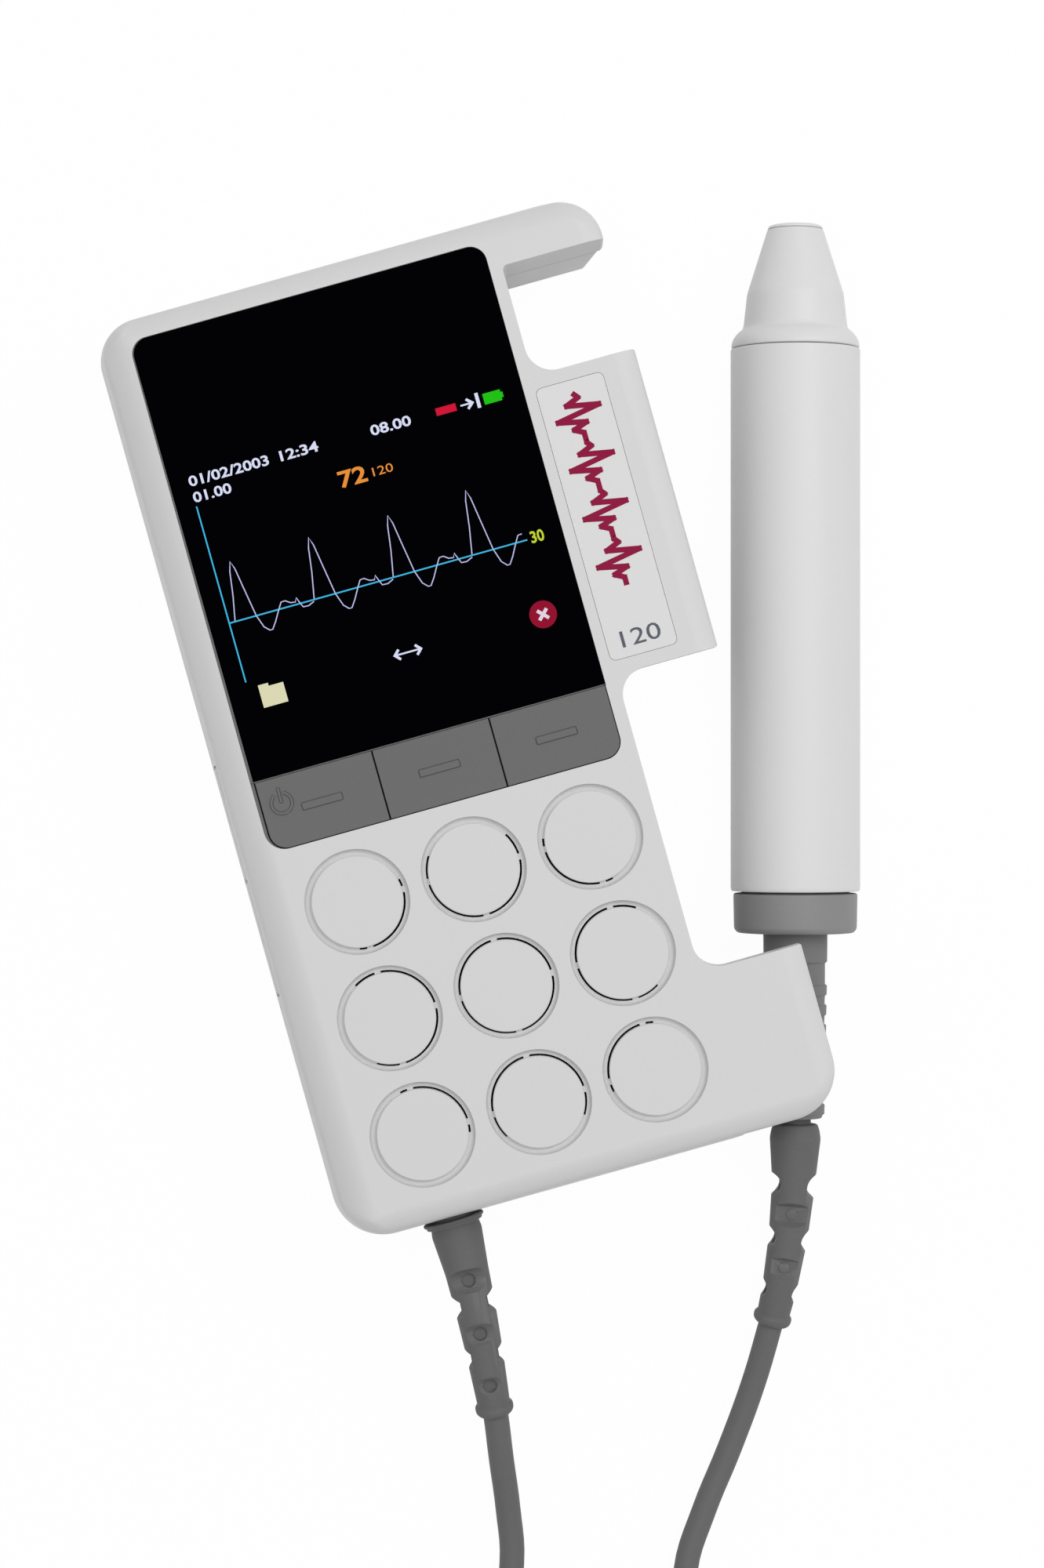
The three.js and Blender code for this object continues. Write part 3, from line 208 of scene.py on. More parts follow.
# Camera: straight down, turned a little, at the distance that the photograph's perspective gives
camera_data = bpy.data.cameras.new("camera")
camera = bpy.data.objects.new("camera", camera_data)
scene.collection.objects.link(camera)
scene.camera = camera
camera.location = CAMERA_PLACE * MM
camera.rotation_euler = (0, 0, CAMERA_TURN)
camera_data.sensor_width = 36
camera_data.lens = FOCAL_LENGTH
camera_data.clip_start = 0.01


# Meshes
def mesh_object(name, points, faces):
    mesh = bpy.data.meshes.new(name)
    mesh.from_pydata([Vector(point) * MM for point in points], [], faces)
    mesh.update()
    piece = bpy.data.objects.new(name, mesh)
    scene.collection.objects.link(piece)
    return piece


def baked(piece):
    """Applies the piece's modifiers to its mesh."""
    bpy.context.view_layer.update()
    graph = bpy.context.evaluated_depsgraph_get()
    mesh = bpy.data.meshes.new_from_object(piece.evaluated_get(graph))
    piece.modifiers.clear()
    piece.data = mesh
    return piece


def boolean(piece, other, operation):
    modifier = piece.modifiers.new("boolean", "BOOLEAN")
    modifier.operation = operation
    modifier.object = other
    modifier.solver = "MANIFOLD"
    baked(piece)
    bpy.data.objects.remove(other)
    return piece


def cut(piece, *cutters):
    for cutter in cutters:
        boolean(piece, cutter, "DIFFERENCE")
    return piece


def joined(piece, *others):
    for other in others:
        boolean(piece, other, "UNION")
    return piece


def bevelled(piece, width, segments=2, angle=40):
    modifier = piece.modifiers.new("bevel", "BEVEL")
    modifier.width = width * MM
    modifier.segments = segments
    modifier.limit_method = "ANGLE"
    modifier.angle_limit = math.radians(angle)
    return baked(piece)


def smooth(piece, angle=32):
    """Smooth shading that keeps edges sharper than the angle."""
    piece.data.shade_smooth()
    piece.data.set_sharp_from_angle(angle=math.radians(angle))
    normals = piece.modifiers.new("normals", "WEIGHTED_NORMAL")
    normals.keep_sharp = True
    return piece


def moved(piece, matrix):
    piece.data.transform(matrix)
    return piece


def shifted(piece, x, y, z=0):
    return moved(piece, Matrix.Translation(Vector((x, y, z)) * MM))


def rounded(corners, steps=10):
    """An outline whose corners (x, y, radius) are rounded with arcs."""
    points = []
    for i, (x, y, radius) in enumerate(corners):
        corner = Vector((x, y))
        before = (Vector(corners[i - 1][:2]) - corner).normalized()
        after = (Vector(corners[(i + 1) % len(corners)][:2]) - corner).normalized()
        if radius == 0:
            points.append(corner)
            continue
        half = before.angle(after) / 2
        centre = corner + (before + after).normalized() * (radius / math.sin(half))
        start = corner + before * (radius / math.tan(half)) - centre
        end = corner + after * (radius / math.tan(half)) - centre
        sweep = math.atan2(start.x * end.y - start.y * end.x, start.dot(end))
        for step in range(steps + 1):
            angle = sweep * step / steps
            c, s = math.cos(angle), math.sin(angle)
            points.append(centre + Vector((start.x * c - start.y * s, start.x * s + start.y * c)))
    return points


def inset(corners, distance):
    """The same outline drawn in by a distance. The corners run anticlockwise."""
    result = []
    for i, (x, y, radius) in enumerate(corners):
        here = Vector((x, y))
        back = (here - Vector(corners[i - 1][:2])).normalized()
        ahead = (Vector(corners[(i + 1) % len(corners)][:2]) - here).normalized()
        normal_a = Vector((-back.y, back.x))
        normal_b = Vector((-ahead.y, ahead.x))
        place = here + (normal_a + normal_b) / (1 + normal_a.dot(normal_b)) * distance
        convex = back.x * ahead.y - back.y * ahead.x > 0
        grown = radius - distance if convex else radius + distance
        result.append((place.x, place.y, max(grown, 0.02) if radius else 0))
    return result


def rectangle(left, low, right, high, radius=0):
    return [(left, low, radius), (right, low, radius), (right, high, radius), (left, high, radius)]


def loft(name, rings, closed=False):
    """A skin over rings with the same number of points, capped unless it closes on itself."""
    count = len(rings[0])
    points = [point for ring in rings for point in ring]
    faces = []
    for k in range(len(rings) if closed else len(rings) - 1):
        lower, upper = k * count, (k + 1) % len(rings) * count
        for i in range(count):
            j = (i + 1) % count
            faces.append((lower + i, lower + j, upper + j, upper + i))
    if not closed:
        faces.append(tuple(reversed(range(count))))
        faces.append(tuple(range(len(points) - count, len(points))))
    return mesh_object(name, points, faces)


def cross_points(reach, half):
    """A cross with arms of that reach and half width."""
    arms = [(-reach, -half), (-half, -half), (-half, -reach), (half, -reach), (half, -half), (reach, -half)]
    return arms + [(-x, -y) for x, y in arms]


def level(outline, z):
    return [(point.x, point.y, z) for point in outline]


def prism(name, corners, low, high, steps=10):
    outline = rounded(corners, steps)
    return loft(name, [level(outline, low), level(outline, high)])


def block(left, low, bottom, right, high, top):
    return prism("block", rectangle(left, low, right, high), bottom, top)


def pillow(name, corners, low, high, edge, steps=8):
    """A prism whose upper edge is rounded."""
    rings = [level(rounded(corners, steps), low)]
    for k in range(5):
        angle = math.pi / 2 * k / 4
        drawn = inset(corners, edge * (1 - math.cos(angle)))
        rings.append(level(rounded(drawn, steps), high - edge + edge * math.sin(angle)))
    return loft(name, rings)


def frame_piece(name, outer, inner, low, high, steps=10):
    """A flat ring between two outlines with the same corners."""
    outside, inside = rounded(outer, steps), rounded(inner, steps)
    rings = [level(outside, low), level(outside, high), level(inside, high), level(inside, low)]
    return loft(name, rings, True)


def lathe(name, profile, segments=96, closed=False):
    """A solid of revolution about Z from (radius, height) pairs."""
    points, loops, faces = [], [], []
    for radius, height in profile:
        if radius < 1e-6:
            loops.append([len(points)] * segments)
            points.append((0, 0, height))
            continue
        loops.append([len(points) + i for i in range(segments)])
        for i in range(segments):
            angle = TURN * i / segments
            points.append((radius * math.cos(angle), radius * math.sin(angle), height))
    pairs = list(zip(loops, loops[1:]))
    if closed:
        pairs.append((loops[-1], loops[0]))
    for lower, upper in pairs:
        for i in range(segments):
            j = (i + 1) % segments
            corners = tuple(dict.fromkeys((lower[i], lower[j], upper[j], upper[i])))
            if len(corners) > 2:
                faces.append(corners)
    return mesh_object(name, points, faces)


def rod(radius, low, high, segments=48):
    return lathe("rod", [(0, low), (radius, low), (radius, high), (0, high)], segments)


def rod_along_y(radius, x, z, low, high, segments=96):
    turned = moved(rod(radius, low, high, segments), Matrix.Rotation(-math.pi / 2, 4, "X"))
    return shifted(turned, x, 0, z)


def softened(profile, radius=0.25, steps=3, closed=False):
    """The same profile with its inner corners rounded a little."""
    result = []
    count = len(profile)
    for i, point in enumerate(profile):
        here = Vector(point)
        if not closed and i in (0, count - 1) or here.x < 1e-6:
            result.append(tuple(here))
            continue
        before, after = Vector(profile[i - 1]), Vector(profile[(i + 1) % count])
        reach = min(radius, (before - here).length * 0.45, (after - here).length * 0.45)
        start = here + (before - here).normalized() * reach
        end = here + (after - here).normalized() * reach
        for k in range(steps + 1):
            t = k / steps
            spot = start * (1 - t) ** 2 + here * 2 * t * (1 - t) + end * t * t
            result.append((spot.x, spot.y))
    return result


# Materials
def linear(tone):
    """The light that an 8-bit sRGB tone stands for."""
    value = tone / 255
    return value / 12.92 if value <= 0.04045 else ((value + 0.055) / 1.055) ** 2.4


def rgb(*tones):
    if len(tones) == 1:
        tones = tones * 3
    return tuple(linear(tone) for tone in tones) + (1,)


MOTTLE_SIZE = 14
RELIEF = 0.05
GLOSS_DRIFT = 0.08
PALE_EDGE_FROM, PALE_EDGE_TO = 0.52, 0.6
PIXEL = 0.6


def filled(tree, node, values=None, sources=None):
    """Sets a node's plain values and links what feeds its other sockets."""
    for socket, value in (values or {}).items():
        node.inputs[socket].default_value = value
    for socket, source in (sources or {}).items():
        tree.links.new(source, node.inputs[socket])
    return node


def added(tree, kind, values=None, sources=None, **settings):
    node = tree.nodes.new(kind)
    for name, value in settings.items():
        setattr(node, name, value)
    return filled(tree, node, values, sources)


def shaded(colour, factor, lift=0):
    """The colour with its three channels scaled and lifted, none past white."""
    return tuple(min(channel * factor + lift, 1) for channel in colour[:3]) + (1,)


def material(name, colour, roughness, grain=0.1, grain_size=0.25, mottle=0.03, metallic=0.0,
             specular=0.5, coat=0.0, sheen=0.0, edge_paling=0.0):
    """A moulded or coated surface: fine grain in its relief, slow mottle in colour and gloss.

    grain is the relief's strength, grain_size its scale in millimetres, mottle the share by which
    the colour wanders and edge_paling how much paler the sharpest convex edges are drawn."""
    made = bpy.data.materials.new(name)
    made.use_nodes = True
    tree = made.node_tree
    place = added(tree, "ShaderNodeTexCoord").outputs["Object"]

    def noise(size, detail):
        values = {"Scale": 1 / (size * MM), "Detail": detail}
        return added(tree, "ShaderNodeTexNoise", values, {"Vector": place}).outputs["Fac"]

    def ranged(source, low, high, start=0.3, end=0.7):
        values = {"From Min": start, "From Max": end, "To Min": low, "To Max": high}
        return added(tree, "ShaderNodeMapRange", values, {"Value": source}).outputs["Result"]

    def scaled(source, factor):
        return added(tree, "ShaderNodeMath", {1: factor}, {0: source}, operation="MULTIPLY").outputs[0]

    slow = noise(MOTTLE_SIZE, 3)
    fine = noise(grain_size, 2)
    speck = noise(grain_size * 3, 2)
    mixed = added(tree, "ShaderNodeMath", {1: 0.5}, {0: speck, 2: scaled(slow, 0.5)},
                  operation="MULTIPLY_ADD")
    result = added(tree, "ShaderNodeMix", data_type="RGBA")
    filled(tree, result, {"A": shaded(colour, 1 - mottle), "B": shaded(colour, 1 + mottle)},
           {"Factor": ranged(mixed.outputs[0], 0, 1)})
    # The sharpest convex edges, found by pointiness, are drawn paler by the given share.
    if edge_paling:
        pointed = added(tree, "ShaderNodeNewGeometry").outputs["Pointiness"]
        pale = added(tree, "ShaderNodeMix", data_type="RGBA")
        result = filled(tree, pale, {"B": shaded(colour, 1.6, 0.02)}, {
            "A": result.outputs["Result"],
            "Factor": scaled(ranged(pointed, 0, 1, PALE_EDGE_FROM, PALE_EDGE_TO), edge_paling)})
    bump = added(tree, "ShaderNodeBump", {"Strength": grain, "Distance": RELIEF * MM}, {"Height": fine})
    filled(tree, tree.nodes["Principled BSDF"], {
        "Metallic": metallic,
        "Specular IOR Level": specular,
        "Coat Weight": coat,
        "Coat Roughness": 0.15,
        "Sheen Weight": sheen,
    }, {
        "Base Color": result.outputs["Result"],
        "Roughness": ranged(slow, roughness * (1 - GLOSS_DRIFT), min(roughness * (1 + GLOSS_DRIFT), 1)),
        "Normal": bump.outputs["Normal"],
    })
    return made


def glow(name, colour):
    """A lit mark on the screen, with the rows of its pixels faintly showing."""
    made = bpy.data.materials.new(name)
    made.use_nodes = True
    tree = made.node_tree
    place = added(tree, "ShaderNodeTexCoord").outputs["Object"]
    wave = added(tree, "ShaderNodeTexWave", {"Scale": 1 / (PIXEL * MM)}, {"Vector": place},
                 bands_direction="DIAGONAL")
    tint = added(tree, "ShaderNodeMix", data_type="RGBA")
    filled(tree, tint, {"A": shaded(colour, 0.82), "B": colour}, {"Factor": wave.outputs["Fac"]})
    filled(tree, tree.nodes["Principled BSDF"], {
        "Base Color": (0, 0, 0, 1),
        "Specular IOR Level": 0,
        "Roughness": 0.4,
        "Emission Strength": 1,
    }, {"Emission Color": tint.outputs["Result"]})
    return made


finishes = {name: material(name, colour, roughness, **rest) for name, colour, roughness, rest in (
    ("shell", rgb(213), 0.5, dict(grain=0.14, grain_size=0.18, mottle=0.012, specular=0.35)),
    ("probe_white", rgb(219), 0.42, dict(grain=0.08, grain_size=0.2, mottle=0.012, specular=0.4)),
    ("key_gray", rgb(105), 0.7, dict(grain=0.3, grain_size=0.12, mottle=0.05, specular=0.3)),
    ("cable_gray", rgb(98), 0.62, dict(grain=0.25, grain_size=0.15, mottle=0.06, specular=0.35, edge_paling=0.3)),
    ("end_ring", rgb(134), 0.5, dict(grain=0.16, grain_size=0.16, specular=0.4)),
    ("lens_black", rgb(0, 0, 2), 0.12, dict(grain=0, mottle=0, specular=0.005)),
    ("gasket", rgb(105), 0.6, dict(grain=0.2, grain_size=0.1, mottle=0.06, specular=0.2)),
    ("label", rgb(216), 0.35, dict(grain=0.05, grain_size=0.3, mottle=0.01, specular=0.4)),
    ("board", rgb(28, 92, 54), 0.45, dict(grain=0.2, grain_size=0.4, mottle=0.12)),
    ("dark_plastic", rgb(29), 0.55, dict(grain=0.2, grain_size=0.15, mottle=0.08)),
    ("steel", rgb(200, 200, 203), 0.28, dict(grain=0.12, grain_size=0.3, mottle=0.04, metallic=1)),
    ("cell", rgb(47, 72, 88), 0.35, dict(grain=0.04, grain_size=0.5, mottle=0.06, coat=0.4)),
    ("ceramic", rgb(201, 185, 143), 0.5, dict(grain=0.2, grain_size=0.1, mottle=0.05)),
    ("acoustic", rgb(222), 0.3, dict(grain=0.03, grain_size=0.3, mottle=0.01, specular=0.4)),
)}
ink = dict(grain=0.04, grain_size=0.3, mottle=0.02, specular=0.1)
slate = material("slate", rgb(92, 96, 105), 0.6, **ink)
crimson = material("crimson", rgb(142, 18, 62), 0.6, **ink)
sleeve_gray = material("sleeve_gray", rgb(120), 0.6, grain=0.2, grain_size=0.15, mottle=0.04, specular=0.35)
cloth_black = material("cloth_black", rgb(18), 0.95, grain=0.8, grain_size=0.2, mottle=0.3, specular=0.1,
                       sheen=0.1)


def dressed(piece, slot, body, *replaced, finish=None):
    """Gives a piece its finish and its body, and hides the solids that it stands for."""
    piece.data.materials.clear()
    piece.data.materials.append(finish or finishes[slot])
    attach(piece, body)
    if replaced:
        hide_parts(*replaced)
    return piece


# Lead: a route along the bends of both boots, the loops of the coil and two free stretches
def below(x, distance, z):
    return Vector((x, LOW - distance, z))


class Bend:
    """A cubic curve, read by distance along it and straight on past its ends."""

    def __init__(self, *corners):
        self.corners = corners
        self.table = [0.0]
        self.steps = 200
        spots = [self.spot(i / self.steps) for i in range(self.steps + 1)]
        for a, b in zip(spots, spots[1:]):
            self.table.append(self.table[-1] + (b - a).length)
        self.length = self.table[-1]

    def spot(self, t):
        a, b, c, d = self.corners
        return a * (1 - t) ** 3 + b * 3 * t * (1 - t) ** 2 + c * 3 * t * t * (1 - t) + d * t ** 3

    def slope(self, t):
        a, b, c, d = self.corners
        return ((b - a) * (1 - t) ** 2 + (c - b) * 2 * t * (1 - t) + (d - c) * t * t).normalized()

    def share(self, distance):
        k = next((i for i, done in enumerate(self.table) if done >= distance), self.steps)
        if k == 0:
            return 0
        before, after = self.table[k - 1], self.table[k]
        return (k - 1 + (distance - before) / (after - before)) / self.steps

    def at(self, distance):
        """The spot and the heading at a distance from the start."""
        inside = min(max(distance, 0), self.length)
        t = self.share(inside)
        heading = self.slope(t)
        return self.spot(t) + heading * (distance - inside), heading


unit_bend = Bend(GLAND, GLAND - Y * 12, GLAND + Vector((-1, -21.5, -2.1)), GLAND + Vector((-2, -30.6, -4.6)))
plug_end = BARREL_FOOT - HEADING * (RING_LENGTH + COLLAR_LENGTH + SLEEVE_LENGTH + 0.6)
probe_bend = Bend(plug_end, plug_end - HEADING * 12, below(23.2, 22.2, 7.4), below(19.3, 29.0, 5.9))


def eased(value):
    share = min(max(value, 0), 1)
    return share * share * (3 - 2 * share)


def coil_point(turn):
    """The coil spirals in and out again in two layers, and rises a little over its tie."""
    layer = COIL_TURNS / 2
    drawn = turn if turn <= layer else COIL_TURNS - turn
    radius = COIL_RADIUS + COIL_PITCH * (layer / 2 - drawn)
    climb = eased((turn - layer + 0.25) * 2)
    angle = COIL_ENTRY + turn * TURN
    from_tie = math.acos(math.cos(angle - TIE_ANGLE))
    lift = (TIE_THICKNESS + TIE_ROOM) * (1 - eased(from_tie / TIE_REACH))
    height = COIL_REST + CABLE_RADIUS + lift + climb * COIL_PITCH
    return COIL_CENTRE + Vector((radius * math.cos(angle), radius * math.sin(angle), height))


def run_on(start, end, distance):
    heading = (end - start) * Vector((1, 1, 0))
    return end + heading.normalized() * distance


coil_count = round(COIL_TURNS * COIL_STEPS)
wound = [coil_point(COIL_TURNS * i / coil_count) for i in range(coil_count + 1)]
LEAD_IN = CABLE_RADIUS * 2 + 5
route = [
    unit_bend.at(BOOT_LENGTH - 2)[0],
    unit_bend.at(BOOT_LENGTH + FIT)[0],
    below(-25.0, 37.6, 6.2),
    below(-26.2, 45.6, 3.5),
    below(-27.9, 53.8, 2.1),
    below(-31.4, 61.0, 2.0),
    below(-37.6, 65.4, 2.0),
    run_on(wound[1], wound[0], LEAD_IN),
    *wound,
    run_on(wound[-2], wound[-1], LEAD_IN),
    below(-6.0, 90.5, 5.4),
    below(-5.5, 81.0, 3.7),
    below(-5.3, 71.5, 2.5),
    below(-3.0, 62.0, 2.0),
    below(2.0, 54.2, 2.0),
    below(8.2, 46.2, 2.2),
    below(14.3, 37.5, 3.5),
    probe_bend.at(BOOT_LENGTH + FIT)[0],
    probe_bend.at(BOOT_LENGTH - 2)[0],
]


def lead_cable():
    curve = bpy.data.curves.new("lead_cable", "CURVE")
    curve.dimensions = "3D"
    curve.bevel_depth = CABLE_RADIUS * MM
    curve.bevel_resolution = 5
    curve.resolution_u = 5
    curve.use_fill_caps = True
    spline = curve.splines.new("BEZIER")
    spline.bezier_points.add(len(route) - 1)
    for point, place in zip(spline.bezier_points, route):
        point.co = place * MM
        point.handle_left_type = point.handle_right_type = "AUTO"
    cable = bpy.data.objects.new("lead_cable", curve)
    scene.collection.objects.link(cable)
    dressed(cable, "cable_gray", "unit", "cable_from_unit", "cable_coil", "cable_to_probe")
    return cable


def laid_on(piece, bend):
    """Bends a piece drawn along +Z on the curve."""
    for vertex in piece.data.vertices:
        x, y, s = vertex.co / MM
        spot, heading = bend.at(s)
        side = Z.cross(heading).normalized()
        vertex.co = (spot + side * x + heading.cross(side) * y) * MM
    piece.data.update()
    return piece


BOOT_RADIUS = 3.78
BOOT_WAIST = 3.25
BOOT_TAIL = 2.45
BOOT_NECK = 1.9
NOTCH = 1.88
NOTCH_PITCH = 8.15
NOTCH_HOLE = 1.07
PIP = 0.8
FIRST_NOTCH = 9.4
POCKET_FLOOR = 2.2
POCKET_MOUTH = 3.9
BEAD = 2.85
BEAD_LENGTH = 1.7


def boot(name, root, bites_up):
    """A tapered moulding with round bites on two faces and square pockets on the two between."""
    bead = BOOT_LENGTH - BEAD_LENGTH
    outline = softened([
        *root,
        (BOOT_RADIUS - 0.2, 1.2),
        (BOOT_RADIUS, 2.4),
        (BOOT_WAIST, FIRST_NOTCH - 1),
        (BOOT_TAIL, bead - 0.2),
        (BOOT_TAIL, bead - 0.05),
        (BEAD, bead + 0.3),
        (BEAD, BOOT_LENGTH - 0.55),
        (BEAD - 0.5, BOOT_LENGTH),
        (0, BOOT_LENGTH),
    ], 0.35)
    piece = lathe(name, outline, 64)
    for i in range(5):
        place = FIRST_NOTCH + i * NOTCH_PITCH / 2
        facing = (i % 2 == 0) == bites_up
        for sign in (-1, 1):
            quarter = Matrix.Rotation(math.pi * (sign < 0) + math.pi / 2 * (not facing), 4, "Z")
            if i % 2 == 0:
                bite = moved(rod(NOTCH, -8, 8, 40), Matrix.Rotation(math.pi / 2, 4, "Y"))
                shifted(bite, 0, BOOT_NECK + NOTCH)
                hole = moved(rod(NOTCH_HOLE, -6, -BOOT_NECK + 0.5, 24), Matrix.Rotation(math.pi / 2, 4, "X"))
                for cutter in (bite, hole):
                    cut(piece, shifted(moved(cutter, quarter), 0, 0, place))
            else:
                slope = (POCKET_MOUTH - POCKET_FLOOR) / 2 / (BOOT_WAIST - BOOT_NECK)
                floor = POCKET_FLOOR / 2
                mouth = floor + slope * (8 - BOOT_NECK)
                pocket = loft("pocket", [
                    [(-8, y, half), (8, y, half), (8, y, -half), (-8, y, -half)]
                    for y, half in ((BOOT_NECK, floor), (8, mouth))])
                cut(piece, shifted(moved(pocket, quarter), 0, 0, place))
                pip = moved(rod(PIP, -BOOT_NECK - 0.15, -0.5, 24), Matrix.Rotation(math.pi / 2, 4, "X"))
                joined(piece, shifted(moved(pip, quarter), 0, 0, place))
    return smooth(bevelled(piece, 0.12, 2, 35), 40)


cable = lead_cable()


# Unit: the front cover
def lean_at(side, z):
    """How far a side has leaned in at a height."""
    return EDGES[side][0] * max(z - PARTING, 0) / (TOP - PARTING)


def edge_step(side, k):
    """One step of a side's section, from the parting plane up the wall and over the roll.

    Gives how far the side has leaned in, how far it has rolled in, and the height."""
    _, roll, drop = EDGES[side]
    bend, last_bend, last_roll = 0.8, 6, 9
    joint = bend * 0.8

    def rolled(drawn):
        return TOP - drop * (1 - drawn / roll) ** 2

    if k == 0:
        return 0, 0, PARTING
    if k <= last_bend:
        t = (k - 1) / (last_bend - 1)
        drawn = joint * t * t
        wall_top = TOP - drop
        z = (1 - t) ** 2 * (wall_top - bend) + 2 * t * (1 - t) * wall_top + t * t * rolled(joint)
    else:
        drawn = joint + (roll - joint) * (k - last_bend) / last_roll
        z = rolled(drawn)
    return lean_at(side, z), drawn, z


def rolled_slab():
    """A rounded slab whose sides lean in and whose upper edge rolls off on each side."""
    corners = [("right", "low", EAR_CORNER), ("right", "high", HOOK_CORNER),
               ("left", "high", BODY_CORNER), ("left", "low", LOW_CORNER)]
    rings = []
    for k in range(16):
        ring = []
        for i, (side_x, side_y, radius) in enumerate(corners):
            lean_x, roll_x, z_x = edge_step(side_x, k)
            lean_y, roll_y, z_y = edge_step(side_y, k)
            x = RIGHT - lean_x - roll_x if side_x == "right" else LEFT + lean_x + roll_x
            y = HIGH - lean_y - roll_y if side_y == "high" else LOW + lean_y + roll_y
            radius = max(radius - (lean_x + lean_y) * 0.35 - roll_x - roll_y, LEAST_CORNER)
            if (side_x, side_y) == ("right", "high"):
                radius = min(radius, y - HOOK_LOW - TIP_CORNER - 0.05)
            centre_x = x - radius if side_x == "right" else x + radius
            centre_y = y - radius if side_y == "high" else y + radius
            for step in range(17):
                angle = math.pi / 2 * (i - 1 + step / 16)
                c, s = math.cos(angle), math.sin(angle)
                ring.append((centre_x + radius * c, centre_y + radius * s, z_x * c * c + z_y * s * s))
        rings.append(ring)
    return loft("front_cover", rings)


def notch(low, high, low_fillet, high_fillet):
    """The gap between two holders, open to the right, its mouth flared round both tips."""
    edge = RIGHT + 0.02
    return prism("notch", [
        (BOX_RIGHT, low, low_fillet),
        (edge, low, TIP_CORNER),
        (edge, low - 2, 0),
        (edge + 3, low - 2, 0),
        (edge + 3, high + 2, 0),
        (edge, high + 2, 0),
        (edge, high, TIP_CORNER),
        (BOX_RIGHT, high, high_fillet),
    ], 0, TOP + PAST)


def hollow(corners_at, low, high):
    """A cutter for the inside that leans with the front's sides."""
    heights = sorted({low, min(max(PARTING, low), high), high})
    return loft("hollow", [level(rounded(corners_at(z)), z) for z in heights])


def box_cavity(low, high):
    def corners_at(z):
        west, south = LEFT + WALL + lean_at("left", z), LOW + WALL + lean_at("low", z)
        north = HIGH - WALL - lean_at("high", z)
        return [
            (west, south, LOW_CORNER - WALL),
            (BOX_INNER_RIGHT, south, INNER_FILLET),
            (BOX_INNER_RIGHT, north, INNER_FILLET),
            (west, north, BODY_CORNER - WALL),
        ]
    return hollow(corners_at, low, high)


def hook_cavity(low, high):
    def corners_at(z):
        east = RIGHT - WALL * 2 - lean_at("right", z)
        north = HIGH - WALL * 1.3 - lean_at("high", z)
        return rectangle(BOX_INNER_RIGHT - PAST, HOOK_LOW + WALL, east, north, TIP_CORNER)
    return hollow(corners_at, low, high)


def gland_cutters():
    """The hole for the lead's boot and the wider seat of its inner flange."""
    hole = rod_along_y(3.3, GLAND.x, GLAND.z, LOW - PAST, LOW + WALL + PAST, 48)
    return hole, rod_along_y(3.9, GLAND.x, GLAND.z, LOW + WALL, LOW + WALL + 1.4, 48)


def cradle_cutter():
    return rod_along_y(CRADLE_RADIUS, CRADLE_X, CRADLE_Z, LOW - PAST, HOOK_LOW - FIT)


def lens_frame(grow):
    return [
        (lens_low.x - grow, lens_low.y - grow, 0),
        (lens_high.x + grow, lens_low.y - grow, 0),
        (lens_high.x + grow, lens_high.y + grow, LENS_CORNER + grow),
        (lens_low.x - grow, lens_high.y + grow, LENS_CORNER + grow),
    ]


def disc_centres():
    places = [(column, row) for row in (-1, 0, 1) for column in (-1, 0, 1)]
    return [SPEAKER + Vector((column * PITCH, row * PITCH, 0)) for column, row in places]


def groove_cutter(centre):
    return shifted(lathe("groove", [
        (DISC, TOP - GROOVE_DEPTH),
        (DISC + SLOT, TOP - GROOVE_DEPTH),
        *[(GROOVE - GROOVE_DEPTH * 0.62 * (1 - math.sin(a)), TOP - GROOVE_DEPTH * math.cos(a))
          for a in (math.radians(15 * k) for k in range(1, 6))],
        (GROOVE + 0.03, TOP),
        (GROOVE + 0.03, TOP + PAST),
        (DISC - 0.12, TOP + PAST),
        (DISC - 0.12, TOP),
        (DISC, TOP - 0.12),
    ], 96, True), centre.x, centre.y)


def slot_cutters(centre):
    """The parts of a disc's ring that lie over the loudspeaker, less the bridges to the disc."""
    steps = 192
    middle = DISC + SLOT / 2

    def is_open(i):
        x, y = middle * math.cos(TURN * i / steps), middle * math.sin(TURN * i / steps)
        reached = math.hypot(centre.x + x - SPEAKER.x, centre.y + y - SPEAKER.y) < SLOT_REACH
        return reached and abs(x) > BRIDGE / 2 and abs(y) > BRIDGE / 2

    first = next(i for i in range(steps) if not is_open(i))
    runs, run = [], []
    for i in range(first, first + steps + 1):
        if is_open(i % steps):
            run.append(i)
        elif run:
            runs.append(run)
            run = []
    cutters = []
    for run in (run for run in runs if len(run) > 2):
        outer = [(DISC + SLOT, i) for i in run]
        inner = [(DISC + 0.001, i) for i in reversed(run)]
        turned = [(radius, TURN * i / steps) for radius, i in outer + inner]
        outline = [Vector((centre.x + radius * math.cos(angle), centre.y + radius * math.sin(angle)))
                   for radius, angle in turned]
        heights = (CEILING - PAST, TOP - GROOVE_DEPTH / 2)
        cutters.append(loft("slot", [level(outline, z) for z in heights]))
    return cutters


def merged(pieces):
    """Several meshes as one, without a boolean."""
    first = pieces[0]
    points, faces = [], []
    for piece in pieces:
        base = len(points)
        points += [vertex.co / MM for vertex in piece.data.vertices]
        faces += [tuple(base + v for v in face.vertices) for face in piece.data.polygons]
    whole = mesh_object(first.name, points, faces)
    for piece in pieces:
        bpy.data.objects.remove(piece)
    return whole


def case_bores(radius, low, high):
    return merged([shifted(rod(radius, low, high, 32), x, y) for x, y in SCREWS])


